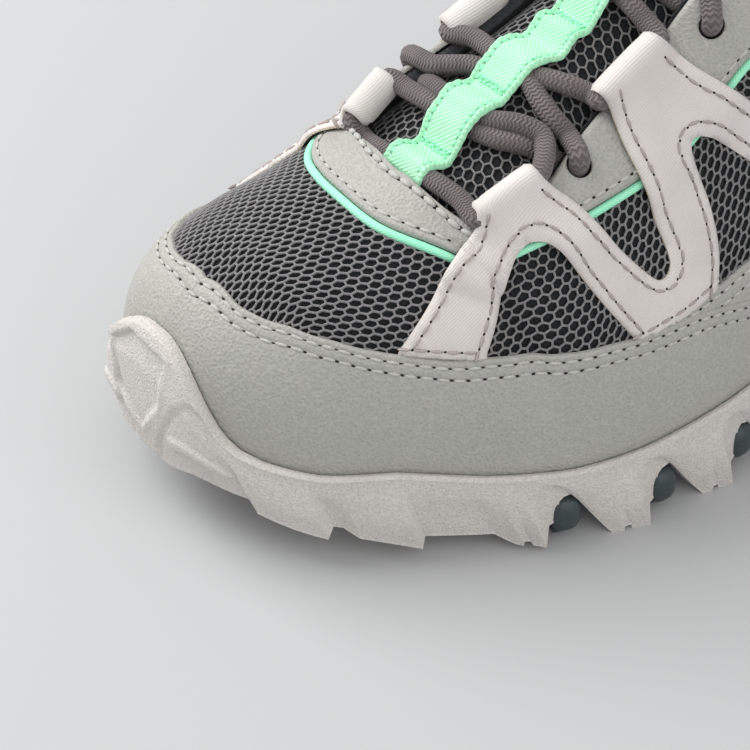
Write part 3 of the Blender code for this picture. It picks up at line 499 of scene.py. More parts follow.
def loop_axis(last: "Last", side: int, loop: tuple, st: Points) -> tuple:
    """Straight axis of a lace loop.

    Args:
        last: face of the upper.
        side: OUTER or INNER.
        loop: the loop's row in its table.
        st: stations wanted.

    Returns:
        Points on the axis, the inward and outward directions, and the part of the way along.
    """
    ends = np.array(loop[:2])
    tips = last.point(side * ends, 1.0)
    part = (np.asarray(st) - ends[0]) / (ends[1] - ends[0])
    along = unit(tips[1] - tips[0])
    normal = last.normal(np.array(side * ends.mean()), np.array(1.0))
    normal = unit(normal - along * (normal @ along))
    inward = unit(np.cross(normal, along)) * -side
    shift = loop[2] + (loop[3] - loop[2]) * part
    axis = tips[0] + (tips[1] - tips[0]) * part[..., None] + inward * shift[..., None] + normal * loop[4]
    return axis, inward, normal, part


def strand_path(row: tuple) -> Points:
    """Knots on the middle line of one lace strand over the tongue, from the outer side to the inner side."""
    s, y, lift = np.array(row).T
    return np.column_stack([s, y, tongue_top(s, y) + LACE_LIE + LACE_R + lift])


class Relief(Enum):
    """Surface structures that the finishes share, each a shader group."""

    GRAIN = "leather grain"
    SAND = "moulded sand"
    RIB = "woven rib"
    BRAID = "cord braid"
    WEAVE = "tape weave"
    KNIT = "knit cloth"


# Structures laid out on a piece's own UV
THREADED = (Relief.RIB, Relief.BRAID, Relief.WEAVE)


def add_nodes(tree: Tree, **kinds: str) -> None:
    """Add nodes, each under a name of its own."""
    for name, kind in kinds.items():
        tree.nodes.new(kind).name = name


def join(tree: Tree, table: tuple) -> None:
    """Link nodes, given rows of node, output, node and input."""
    for source, made, target, taken in table:
        tree.links.new(tree.nodes[source].outputs[made], tree.nodes[target].inputs[taken])


class ReliefGroups:
    """Shader groups that turn a position into a height and a mask."""

    def __init__(self) -> None:
        """Start with no group built."""
        self.built: dict[Relief, Tree] = {}
        self.tree: Tree | None = None

    def get(self, relief: Relief) -> Tree:
        """Group for one structure, built on first use.

        Args:
            relief: structure wanted.

        Returns:
            Group with Vector and Scale inputs and Height and Mask outputs.
        """
        if relief not in self.built:
            tree = self.tree = bpy.data.node_groups.new(relief.value, "ShaderNodeTree")
            tree.interface.new_socket("Vector", in_out="INPUT", socket_type="NodeSocketVector")
            for label, way in (("Scale", "INPUT"), ("Height", "OUTPUT"), ("Mask", "OUTPUT")):
                tree.interface.new_socket(label, in_out=way, socket_type="NodeSocketFloat")
            source = tree.nodes.new("NodeGroupInput")
            target = tree.nodes.new("NodeGroupOutput")
            if relief in THREADED:
                height = self.threads(tree, source.outputs, relief)
                size, close, broad, level = 0.09, 0.45, 1.0, 0.0
            else:
                height = self.lumps(tree, source.outputs, relief)
                size, close, broad, level = 55.0, 1.6, 0.3, -0.24
            tree.links.new(height, target.inputs["Height"])
            patch = tree.nodes.new("ShaderNodeTexNoise")
            patch.inputs["Scale"].default_value = size
            patch.inputs["Detail"].default_value = 3.0
            tree.links.new(source.outputs["Vector"], patch.inputs["Vector"])
            # The mask follows the height over broad noise, so each finish's second tone lies in the low places of its
            # relief; on the cord this is painted shade between the braid's strands
            cloud = self.math("MULTIPLY_ADD", patch.outputs["Fac"], broad, level)
            blend = self.math("MULTIPLY_ADD", height, close, cloud)
            tree.links.new(blend, target.inputs["Mask"])
            self.built[relief] = tree
        return self.built[relief]

    def math(self, operation: str, *values: object) -> Socket:
        """Math node in the group being built, with its inputs linked or set.

        Args:
            operation: the node's operation.
            values: a socket to link or a number to set for each input.

        Returns:
            The node's output.
        """
        node = self.tree.nodes.new("ShaderNodeMath")
        node.operation = operation
        for socket, value in zip(node.inputs, values):
            if isinstance(value, (int, float)):
                socket.default_value = value
            else:
                self.tree.links.new(value, socket)
        return node.outputs[0]

    def lumps(self, tree: Tree, given: Outputs, relief: Relief) -> Socket:
        """Height of grain, sand or knit from cells and noise.

        Args:
            tree: group being built.
            given: outputs of its input node.
            relief: which structure.

        Returns:
            Socket with the height.
        """
        cells = tree.nodes.new("ShaderNodeTexVoronoi")
        cells.feature = "SMOOTH_F1" if relief is Relief.GRAIN else "F1"
        fine = tree.nodes.new("ShaderNodeTexNoise")
        fine.inputs["Detail"].default_value = 4.0
        wide = self.math("MULTIPLY", given["Scale"], 1.0 if relief is Relief.GRAIN else 1.6)
        tree.links.new(given["Scale"], cells.inputs["Scale"])
        tree.links.new(wide, fine.inputs["Scale"])
        for node in (cells, fine):
            tree.links.new(given["Vector"], node.inputs["Vector"])
        share = {Relief.GRAIN: 0.55, Relief.SAND: 0.3, Relief.KNIT: 0.8}[relief]
        first = self.math("MULTIPLY", cells.outputs["Distance"], share)
        return self.math("MULTIPLY_ADD", fine.outputs["Fac"], 1.0 - share, first)

    def threads(self, tree: Tree, given: Outputs, relief: Relief) -> Socket:
        """Height of ribs, braid or weave from crossing waves on the piece's own UV, in mm.

        Args:
            tree: group being built.
            given: outputs of its input node.
            relief: which structure.

        Returns:
            Socket with the height.
        """
        axes = tree.nodes.new("ShaderNodeSeparateXYZ")
        tree.links.new(given["Vector"], axes.inputs[0])
        along = self.math("MULTIPLY", axes.outputs["X"], given["Scale"])
        across = self.math("MULTIPLY", axes.outputs["Y"], given["Scale"])
        if relief is Relief.RIB:
            wave = self.math("SINE", across)
            cross = self.math("MULTIPLY", along, 0.8)
            pick = self.math("SINE", cross)
            rib = self.math("MULTIPLY_ADD", wave, 0.42, 0.5)
            return self.math("MULTIPLY_ADD", pick, 0.06, rib)
        if relief is Relief.BRAID:
            plait = self.math("MULTIPLY", along, 1.75)
            bent = self.math("PINGPONG", across, math.pi)
            lean = self.math("ADD", plait, bent)
            wave = self.math("SINE", lean)
            return self.math("MULTIPLY_ADD", wave, 0.5, 0.5)
        one = self.math("SINE", along)
        two = self.math("SINE", across)
        both = self.math("MULTIPLY", one, two)
        return self.math("MULTIPLY_ADD", both, 0.5, 0.5)


RELIEFS = ReliefGroups()
MADE: dict[str, bpy.types.Material] = {}


@dataclass(frozen=True)
class Finish:
    """One surface finish: two tones, roughness, a relief and how deep it is."""

    name: str
    tone: tuple[int, int, int]
    second: tuple[int, int, int]
    roughness: float
    relief: Relief
    scale: float
    depth: float
    sheen: float = 0.0

    def material(self) -> bpy.types.Material:
        """Material of this finish, built once.

        Returns:
            The material.
        """
        if self.name in MADE:
            return MADE[self.name]
        mat = bpy.data.materials.new(f"{self.name}_finish")
        MADE[self.name] = mat
        mat.use_nodes = True
        tree = mat.node_tree
        nodes = tree.nodes
        shader = "Principled BSDF"
        threaded = self.relief in THREADED
        add_nodes(
            tree, place="ShaderNodeUVMap" if threaded else "ShaderNodeTexCoord", group="ShaderNodeGroup",
            mix="ShaderNodeMix", spread="ShaderNodeMapRange", bump="ShaderNodeBump",
        )
        if threaded:
            nodes["place"].uv_map = "cloth"
        nodes["group"].node_tree = RELIEFS.get(self.relief)
        nodes["mix"].data_type = "RGBA"
        values = (
            (shader, "Sheen Weight", self.sheen), (shader, "Specular IOR Level", 0.4), ("group", "Scale", self.scale),
            ("mix", "A", (*linear(*self.second), 1.0)), ("mix", "B", (*linear(*self.tone), 1.0)),
            ("spread", "To Min", min(self.roughness + 0.08, 1.0)), ("spread", "To Max", self.roughness - 0.06),
            ("bump", "Strength", 1.0), ("bump", "Distance", self.depth * MM),
        )
        for node, label, value in values:
            nodes[node].inputs[label].default_value = value
        join(tree, (
            ("place", "UV" if threaded else "Object", "group", "Vector"), ("group", "Mask", "mix", "Factor"),
            ("mix", "Result", shader, "Base Color"), ("group", "Mask", "spread", "Value"),
            ("spread", "Result", shader, "Roughness"), ("group", "Height", "bump", "Height"),
            ("bump", "Normal", shader, "Normal"),
        ))
        return mat


LEATHER = Finish("grey_leather", (174, 173, 167), (151, 151, 145), 0.55, Relief.GRAIN, 1500.0, 0.4)
CUT_EDGE = Finish("cut_leather_edge", (206, 205, 199), (180, 180, 174), 0.8, Relief.SAND, 1500.0, 0.1)
RUBBER = Finish("pale_rubber", (216, 211, 206), (176, 170, 165), 0.75, Relief.SAND, 1500.0, 0.5)
DARK_RUBBER = Finish("dark_rubber", (62, 72, 74), (40, 48, 50), 0.45, Relief.SAND, 1200.0, 0.08)
STRAP = Finish("ribbed_strap", (217, 211, 207), (196, 189, 185), 0.62, Relief.RIB, 11.0, 0.065, 0.1)
RAW_EDGE = Finish("strap_raw_edge", (204, 192, 176), (166, 152, 134), 0.9, Relief.KNIT, 2200.0, 0.2)
NET = Finish("net_yarn", (132, 130, 130), (92, 91, 91), 0.7, Relief.KNIT, 3500.0, 0.05, 0.2)
NET_BACK = Finish("net_backing", (34, 36, 39), (16, 17, 19), 0.95, Relief.KNIT, 1500.0, 0.3)
LINING = Finish("lining_cloth", (92, 94, 97), (70, 72, 75), 0.95, Relief.KNIT, 1500.0, 0.15, 0.2)
FOOTBED = Finish("insole_cloth", (98, 100, 103), (74, 76, 79), 0.95, Relief.KNIT, 1300.0, 0.15, 0.2)
MINT = Finish("mint_tape", (180, 240, 200), (146, 228, 180), 0.75, Relief.WEAVE, 5.2, 0.2, 0.3)
MINT_TACK = Finish("mint_tack_thread", (172, 246, 208), (128, 230, 180), 0.8, Relief.KNIT, 2400.0, 0.12)
MINT_PIPE = Finish("mint_piping", (172, 248, 212), (134, 236, 190), 0.7, Relief.WEAVE, 7.0, 0.1, 0.2)
# Taupe cord; its near-black second tone falls in the braid's low places, painted shade in the gaps between the strands
CORD = Finish("taupe_cord", (122, 113, 112), (44, 38, 39), 0.75, Relief.BRAID, 4.0, 0.4, 0.15)
THREAD = Finish("grey_thread", (196, 195, 190), (144, 144, 140), 0.7, Relief.KNIT, 4000.0, 0.05)
STRAP_THREAD = Finish("strap_thread", (180, 170, 166), (136, 126, 121), 0.7, Relief.KNIT, 4000.0, 0.05)
# Dark patches at the needle holes: painted shade where the thread sinks into the surface
NEEDLE_SHADE = Finish("needle_hole_shade", (44, 41, 39), (24, 22, 21), 0.95, Relief.KNIT, 4000.0, 0.05)


def stand(name: str, data: bpy.types.ID) -> Object:
    """New object, linked to the scene.

    Args:
        name: its name.
        data: mesh, camera or lamp that it shows.

    Returns:
        The object.
    """
    obj = bpy.data.objects.new(name, data)
    bpy.context.scene.collection.objects.link(obj)
    return obj


class Workbench:
    """Mesh making and the calls that join a piece to the frame."""

    def mesh(
        self,
        name: str,
        points: Points,
        faces: list,
        finishes: tuple[Finish, ...],
        kinds: Points | None = None,
        uv: Points | None = None,
        sharp: float = 0.0,
    ) -> Object:
        """Object from points in the shoe's millimetre frame.

        Args:
            name: name of the piece.
            points: corner positions.
            faces: corner numbers of each face.
            finishes: finishes in slot order.
            kinds: slot of each face.
            uv: cloth position in mm of each point, or of each corner in face order.
            sharp: angle in degrees past which an edge stays sharp, or 0 for none.

        Returns:
            The object, linked to the scene.
        """
        pts = (np.asarray(points, float).reshape(-1, 3) - CENTRE) * MM
        mesh = bpy.data.meshes.new(name)
        mesh.from_pydata(pts.tolist(), [], [tuple(int(v) for v in f) for f in faces])
        for one in finishes:
            mesh.materials.append(one.material())
        if kinds is not None:
            mesh.polygons.foreach_set("material_index", np.asarray(kinds, np.int32))
        if uv is not None:
            layer = mesh.uv_layers.new(name="cloth")
            loops = np.asarray(uv, float)
            if len(loops) == len(pts):
                corner = np.empty(len(mesh.loops), np.int32)
                mesh.loops.foreach_get("vertex_index", corner)
                loops = loops[corner]
            layer.data.foreach_set("uv", loops.astype(np.float32).ravel())
        mesh.shade_smooth()
        if sharp:
            mesh.set_sharp_from_angle(angle=math.radians(sharp))
        mesh.update()
        return stand(name, mesh)

    def wires(self, name: str, points: Points, edges: Points, facing: Points) -> Object:
        """Wire object with the surface's normal stored at each point.

        Args:
            name: name of the piece.
            points: positions in the shoe's millimetre frame.
            edges: pairs of point numbers.
            facing: normal at each point.

        Returns:
            The wire object.
        """
        mesh = bpy.data.meshes.new(name)
        pts = (np.asarray(points, float) - CENTRE) * MM
        mesh.from_pydata(pts.tolist(), [tuple(int(v) for v in e) for e in edges], [])
        store = mesh.attributes.new("facing", "FLOAT_VECTOR", "POINT")
        store.data.foreach_set("vector", np.asarray(facing, np.float32).ravel())
        return stand(name, mesh)

    def settle(self, obj: Object) -> Object:
        """Turn an object's modifiers into plain mesh and take them off.

        Args:
            obj: the piece.

        Returns:
            The piece with plain mesh.
        """
        graph = bpy.context.evaluated_depsgraph_get()
        mesh = bpy.data.meshes.new_from_object(obj.evaluated_get(graph), depsgraph=graph)
        obj.modifiers.clear()
        obj.data = mesh
        mesh.name = obj.name
        return obj

    def bevel(self, obj: Object, width: float, angle: float, segments: int = 2) -> Object:
        """Round the sharp edges of a piece.

        Args:
            obj: the piece.
            width: bevel width in mm.
            angle: angle in degrees past which an edge is rounded.
            segments: steps across the bevel.

        Returns:
            The piece with plain mesh.
        """
        mod = obj.modifiers.new("soft edges", "BEVEL")
        mod.width = width * MM
        mod.segments = segments
        mod.limit_method = "ANGLE"
        mod.angle_limit = math.radians(angle)
        return self.settle(obj)

    def outward(self, obj: Object) -> Object:
        """Merge doubled corners and point the faces of a closed piece outwards.

        Args:
            obj: the piece.

        Returns:
            The same piece.
        """
        bm = bmesh.new()
        bm.from_mesh(obj.data)
        bmesh.ops.remove_doubles(bm, verts=bm.verts, dist=0.00001)
        bmesh.ops.recalc_face_normals(bm, faces=bm.faces)
        bm.to_mesh(obj.data)
        bm.free()
        return obj

    def node_copy(self, node: str, name: str, finish: Finish, width: float) -> Object:
        """Copy of a CAD node, merged and with soft edges.

        Args:
            node: the CAD node.
            name: name of the piece.
            finish: its finish.
            width: width of the soft edges in mm.

        Returns:
            The piece.
        """
        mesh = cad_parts[node].data.copy()
        mesh.name = name
        mesh.materials.clear()
        mesh.materials.append(finish.material())
        obj = stand(name, mesh)
        bm = bmesh.new()
        bm.from_mesh(mesh)
        bmesh.ops.remove_doubles(bm, verts=bm.verts, dist=0.00001)
        bmesh.ops.dissolve_limit(bm, angle_limit=0.02, verts=bm.verts, edges=bm.edges)
        bm.to_mesh(mesh)
        bm.free()
        self.bevel(obj, width, 28.0, 3)
        obj.data.shade_smooth()
        obj.data.set_sharp_from_angle(angle=math.radians(40))
        return obj

    def hand_over(self, obj: Object, slot: str, *nodes: str) -> Object:
        """Ride the piece on the shoe's one body, hide the CAD nodes that it replaces and log its face count.

        Args:
            obj: the piece.
            slot: not used.
            nodes: CAD nodes that it replaces.

        Returns:
            The same piece.
        """
        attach(obj, "root")
        if nodes:
            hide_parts(*nodes)
        LOG.info("%s: %d faces", obj.name, len(obj.data.polygons))
        return obj


BENCH = Workbench()


def grid_faces(rows: int, cols: int, start: int = 0, flip: bool = False) -> list:
    """Quads over a grid of points in row order.

    Args:
        rows: number of rows.
        cols: number of columns.
        start: number of the first point.
        flip: whether the faces turn the other way.

    Returns:
        Corner numbers of each face.
    """
    faces = []
    for a in range(start, start + (rows - 1) * cols, cols):
        for j in range(a, a + cols - 1):
            face = (j, j + cols, j + cols + 1, j + 1)
            faces.append(face[::-1] if flip else face)
    return faces


def grid_ring(rows: int, cols: int, start: int = 0) -> list:
    """Quads over rings of points, each ring closed on itself.

    Args:
        rows: number of rings.
        cols: points in each ring.
        start: number of the first point.

    Returns:
        Corner numbers of each face.
    """
    faces = []
    for a in range(start, start + (rows - 1) * cols, cols):
        for k in range(cols):
            j = (k + 1) % cols
            faces.append((a + k, a + j, a + cols + j, a + cols + k))
    return faces


def tube(rows: int, cols: int) -> list:
    """Faces of a row of rings that is closed at both ends."""
    return grid_ring(rows, cols) + [tuple(range(cols)), tuple(range((rows - 1) * cols, rows * cols))]


def honeycomb(number: Points, peak: Points) -> list:
    """Edges of a net of hexagons on a grid.

    Args:
        number: number of each point, or -1 where there is none.
        peak: which points reach up to the row before.

    Returns:
        Pairs of point numbers.
    """
    edges = []
    down = np.where(peak[:-1], -1, number[:-1])
    for a, b in ((number[:, :-1], number[:, 1:]), (down, np.where(peak[1:], number[1:], -1))):
        ok = (a >= 0) & (b >= 0)
        edges.extend(zip(a[ok], b[ok]))
    return edges


def plate(low: Points, high: Points) -> tuple[Points, list, Points]:
    """Closed plate between two grids: points, faces and a slot for each face, 1 on the last column's rim.

    Args:
        low: grid of the hidden face.
        high: grid of the outer face.

    Returns:
        Points, faces and slots.
    """
    rows, cols = low.shape[:2]
    top = rows * cols
    faces = grid_faces(rows, cols) + grid_faces(rows, cols, top, True)
    kinds = [0] * len(faces)
    for i in range(rows - 1):
        a = i * cols
        b = a + cols
        faces.append((a, top + a, top + b, b))
        faces.append((a + cols - 1, b + cols - 1, top + b + cols - 1, top + a + cols - 1))
        kinds += [0, 1]
    for a in (0, (rows - 1) * cols):
        for j in range(cols - 1):
            faces.append((a + j, a + j + 1, top + a + j + 1, top + a + j))
            kinds.append(0)
    return np.concatenate([low.reshape(-1, 3), high.reshape(-1, 3)]), faces, np.array(kinds)


class NodeTrees:
    """Geometry trees for yarn along wires and for rows of stitches."""

    def __init__(self) -> None:
        """Build both trees."""
        self.yarn = self.start("yarn along wires", (("Radius", 0.0003), ("Sides", 6)))
        self.stitch = self.start(
            "stitch row", (("Pitch", 0.0035), ("Length", 0.003), ("Width", 0.0006), ("Depth", 0.0005), ("Shift", 0.0))
        )
        self.wire_yarn()
        self.wire_stitch()

    def start(self, name: str, sizes: tuple) -> Tree:
        """Empty tree with geometry, sizes and a material as inputs.

        Args:
            name: name of the tree.
            sizes: name and usual value of each size.

        Returns:
            The tree with its input and output nodes.
        """
        tree = bpy.data.node_groups.new(name, "GeometryNodeTree")
        tree.interface.new_socket("Geometry", in_out="INPUT", socket_type="NodeSocketGeometry")
        for label, value in sizes:
            kind = "NodeSocketInt" if isinstance(value, int) else "NodeSocketFloat"
            tree.interface.new_socket(label, in_out="INPUT", socket_type=kind).default_value = value
        tree.interface.new_socket("Finish", in_out="INPUT", socket_type="NodeSocketMaterial")
        tree.interface.new_socket("Geometry", in_out="OUTPUT", socket_type="NodeSocketGeometry")
        tree.nodes.new("NodeGroupInput").name = "in"
        tree.nodes.new("NodeGroupOutput").name = "out"
        return tree

    def close(self, tree: Tree, source: str, made: str) -> None:
        """Realize, shade smooth, set the material and send the result out.

        Args:
            tree: tree being built.
            source: node that makes the shape.
            made: its output.
        """
        add_nodes(
            tree, real="GeometryNodeRealizeInstances", smooth="GeometryNodeSetShadeSmooth",
            paint="GeometryNodeSetMaterial",
        )
        join(tree, (
            (source, made, "real", "Geometry"), ("real", "Geometry", "smooth", "Geometry"),
            ("smooth", "Geometry", "paint", "Geometry"), ("in", "Finish", "paint", "Material"),
            ("paint", "Geometry", "out", "Geometry"),
        ))

    def wire_yarn(self) -> None:
        """Round yarn swept along every wire."""
        add_nodes(
            self.yarn, line="GeometryNodeMeshToCurve", ring="GeometryNodeCurvePrimitiveCircle",
            sweep="GeometryNodeCurveToMesh",
        )
        join(self.yarn, (
            ("in", "Geometry", "line", "Mesh"), ("in", "Sides", "ring", "Resolution"),
            ("in", "Radius", "ring", "Radius"), ("line", "Curve", "sweep", "Curve"),
            ("ring", "Curve", "sweep", "Profile Curve"),
        ))
        self.close(self.yarn, "sweep", "Mesh")

    def wire_stitch(self) -> None:
        """Small beads along each wire, turned along it and laid on the surface."""
        tree = self.stitch
        add_nodes(
            tree, line="GeometryNodeMeshToCurve", pace="GeometryNodeResampleCurve",
            heading="GeometryNodeInputTangent", facing="GeometryNodeInputNamedAttribute",
            move="ShaderNodeVectorMath", shift="GeometryNodeSetPosition",
            along="FunctionNodeAlignRotationToVector", flat="FunctionNodeAlignRotationToVector",
            bead="GeometryNodeMeshUVSphere", size="ShaderNodeCombineXYZ", shape="GeometryNodeTransform",
            spots="GeometryNodeInstanceOnPoints",
        )
        nodes = tree.nodes
        nodes["pace"].mode = "LENGTH"
        nodes["facing"].data_type = "FLOAT_VECTOR"
        nodes["facing"].inputs["Name"].default_value = "facing"
        nodes["move"].operation = "SCALE"
        nodes["along"].axis = "X"
        nodes["flat"].axis = "Z"
        nodes["flat"].pivot_axis = "X"
        for label, value in (("Segments", 8), ("Rings", 5), ("Radius", 0.5)):
            nodes["bead"].inputs[label].default_value = value
        join(tree, (
            ("in", "Geometry", "line", "Mesh"), ("line", "Curve", "pace", "Curve"),
            ("in", "Pitch", "pace", "Length"), ("heading", "Tangent", "move", 0),
            ("in", "Shift", "move", "Scale"), ("pace", "Curve", "shift", "Geometry"),
            ("move", "Vector", "shift", "Offset"), ("heading", "Tangent", "along", "Vector"),
            ("along", "Rotation", "flat", "Rotation"), ("facing", "Attribute", "flat", "Vector"),
            ("in", "Length", "size", "X"), ("in", "Width", "size", "Y"), ("in", "Depth", "size", "Z"),
            ("bead", "Mesh", "shape", "Geometry"), ("size", "Vector", "shape", "Scale"),
            ("shift", "Geometry", "spots", "Points"), ("shape", "Geometry", "spots", "Instance"),
            ("flat", "Rotation", "spots", "Rotation"),
        ))
        self.close(tree, "spots", "Instances")

    def grow(self, obj: Object, tree: Tree, finish: Finish, **sizes: float) -> Object:
        """Run a tree on a wire object and keep the plain mesh.

        Args:
            obj: the wire object.
            tree: one of the two trees.
            finish: finish of the result.
            sizes: values for the tree's named inputs.

        Returns:
            The object with its mesh made.
        """
        mod = obj.modifiers.new(tree.name, "NODES")
        mod.node_group = tree
        for item in tree.interface.items_tree:
            if item.item_type == "SOCKET" and item.in_out == "INPUT":
                if item.name == "Finish":
                    mod[item.identifier] = finish.material()
                elif item.name in sizes:
                    mod[item.identifier] = sizes[item.name]
        return BENCH.settle(obj)


TREES = NodeTrees()


@dataclass
class Seam:
    """Paths of one kind of stitching, gathered until the thread is made."""

    name: str
    slot: str
    thread: Finish
    pitch: float = 3.5
    length: float = 3.0
    width: float = 0.85
    depth: float = 0.75
    # Length of the dark patch at each needle hole, which paints the shade where the thread sinks in
    hole: float = 1.15
    points: list = field(default_factory=list)
    facing: list = field(default_factory=list)
    edges: list = field(default_factory=list)

    def add(self, path: Points, normal: Points) -> None:
        """Lay one stitched path, given with its surface normals.

        Args:
            path: points in order.
            normal: surface normal at each.
        """
        start = len(self.points)
        self.points.extend(path)
        self.facing.extend(normal)
        self.edges.extend((start + i, start + i + 1) for i in range(len(path) - 1))

    def sew(self) -> None:
        """Make the stitches, and between them dark patches at the needle holes: painted shade where the thread sinks
        in.
        """
        points = np.array(self.points)
        facing = np.array(self.facing)
        kinds = (
            ("thread", 0.08, self.thread, self.length, self.width, self.depth, self.pitch * 0.5),
            # Dark patches at the needle holes: painted shade between the stitches
            ("holes", -0.02, NEEDLE_SHADE, self.hole, self.hole * 0.8, 0.3, 0.0),
        )
        for kind, lift, finish, length, width, depth, shift in kinds:
            row = BENCH.wires(f"{self.name}_{kind}", points + facing * lift, self.edges, facing)
            TREES.grow(
                row, TREES.stitch, finish, Pitch=self.pitch * MM, Length=length * MM, Width=width * MM,
                Depth=depth * MM, Shift=shift * MM,
            )
            BENCH.hand_over(row, self.slot)


class Cloth:
    """Flat cloth coordinates on one side of the upper, in mm: c back from the toe, r down from the middle line."""

    STEP = 1.2
    LEVEL = (57.5, 76.0)
    REAR = 150.0

    def __init__(self, last: Last, side: int) -> None:
        """Slice the face across and measure down each slice.

        Args:
            last: face of the upper.
            side: OUTER or INNER.
        """
        self.last = last
        self.side = side
        self.st = np.linspace(0, HEEL, 391)
        self.up = np.linspace(0, 1, 71)
        grid = last.point(side * self.st[:, None], self.up)
        rear = ease((self.st - 7.0) / 2.5)
        belt = grid[:, 49]
        start = int(np.searchsorted(self.st, 7.0))
        length = run_of(belt)
        length = np.where(self.st < 7.0, belt[:, 0], belt[start, 0] + length - length[start])
        self.field = (1 - rear)[:, None] * grid[..., 0] + rear[:, None] * length[:, None]
        self.first = 7.2
        end = self.field[-1].min() - self.STEP / 2
        self.count = int((end - self.first) / self.STEP) + 1
        self.count -= self.count % 2 if side == OUTER else 1 - self.count % 2
        self.c = self.first + self.STEP * np.arange(self.count)
        self.c = self.c + (end - self.c[-1]) * np.clip((self.c - self.REAR) / (self.c[-1] - self.REAR), 0, 1)
        self.at = np.stack([np.interp(self.c, self.field[:, j], self.st) for j in range(len(self.up))], 1)
        face = last.point(side * self.at, self.up)
        steps = np.linalg.norm(np.diff(face, axis=1), axis=-1) * (self.at[:, 1:] > 0)
        down = np.concatenate([np.cumsum(steps[:, ::-1], 1)[:, ::-1], np.zeros((self.count, 1))], 1)
        rise = run_of(face)
        edge = np.interp(self.at[:, -1], (0, 5, 5.5, 6, 7, 8, 13), (0, 0, 13, 26, 23, 20, 20))
        behind = ease((self.at - 8.3) / 1.2)
        self.r = (edge[:, None] + down) * (1 - behind) + (92.0 - rise) * behind
        guard = last.up_at(side * self.at[:, 30], look_up(GUARD_TOP, 1, self.at[:, 30]))
        reach = np.array([np.interp(g, self.up, row) for g, row in zip(guard, self.r)])
        near, far = self.LEVEL
        even = np.interp(self.c, self.LEVEL, np.interp(self.LEVEL, self.c, reach))
        even = np.where((self.c > near) & (self.c < far), even, reach)
        self.r = self.r + (even - reach)[:, None]
        reach = even
        squeeze = np.clip(reach / np.interp(80.0, self.c, reach), 0.45, 1.0) ** 0.5
        self.r = self.r / np.where(self.c < 80.0, squeeze, 1.0)[:, None]

    def locate(self, k: Points, r: Points) -> tuple[Points, Points, Points]:
        """Station, fraction up and whether the face is there, for slice numbers and distances down.

        Args:
            k: slice numbers.
            r: distances down.

        Returns:
            Stations, fractions up and hits.
        """
        st = np.zeros(k.shape)
        up = np.zeros(k.shape)
        for one in np.unique(k):
            here = k == one
            row = self.r[one]
            up[here] = np.interp(r[here], row[::-1], self.up[::-1])
            st[here] = np.interp(up[here], self.up, self.at[one])
        hit = (r > self.r[k, -1]) & (r < self.r[k, 0]) & (st > 0.02)
        return st, up, hit


class StayEdge:
    """Line of the eyestay's outer edge on the face."""

    def __init__(self, last: Last, count: int) -> None:
        """Find the edge's place and directions.

        Args:
            last: face of the upper.
            count: points along the edge.
        """
        rows = Curve(EYESTAY).spread(count)
        self.throat = np.sign(rows[:, 0]) * (THROAT + np.abs(rows[:, 0]))
        self.plan = rows[:, 1:]
        self.st, self.up = last.chart(self.plan[:, 0], self.plan[:, 1])
        self.edge = last.point(self.st, self.up)
        self.normal = last.normal(self.st, self.up)
        self.out = unit(np.cross(self.normal, np.gradient(self.edge, axis=0)))


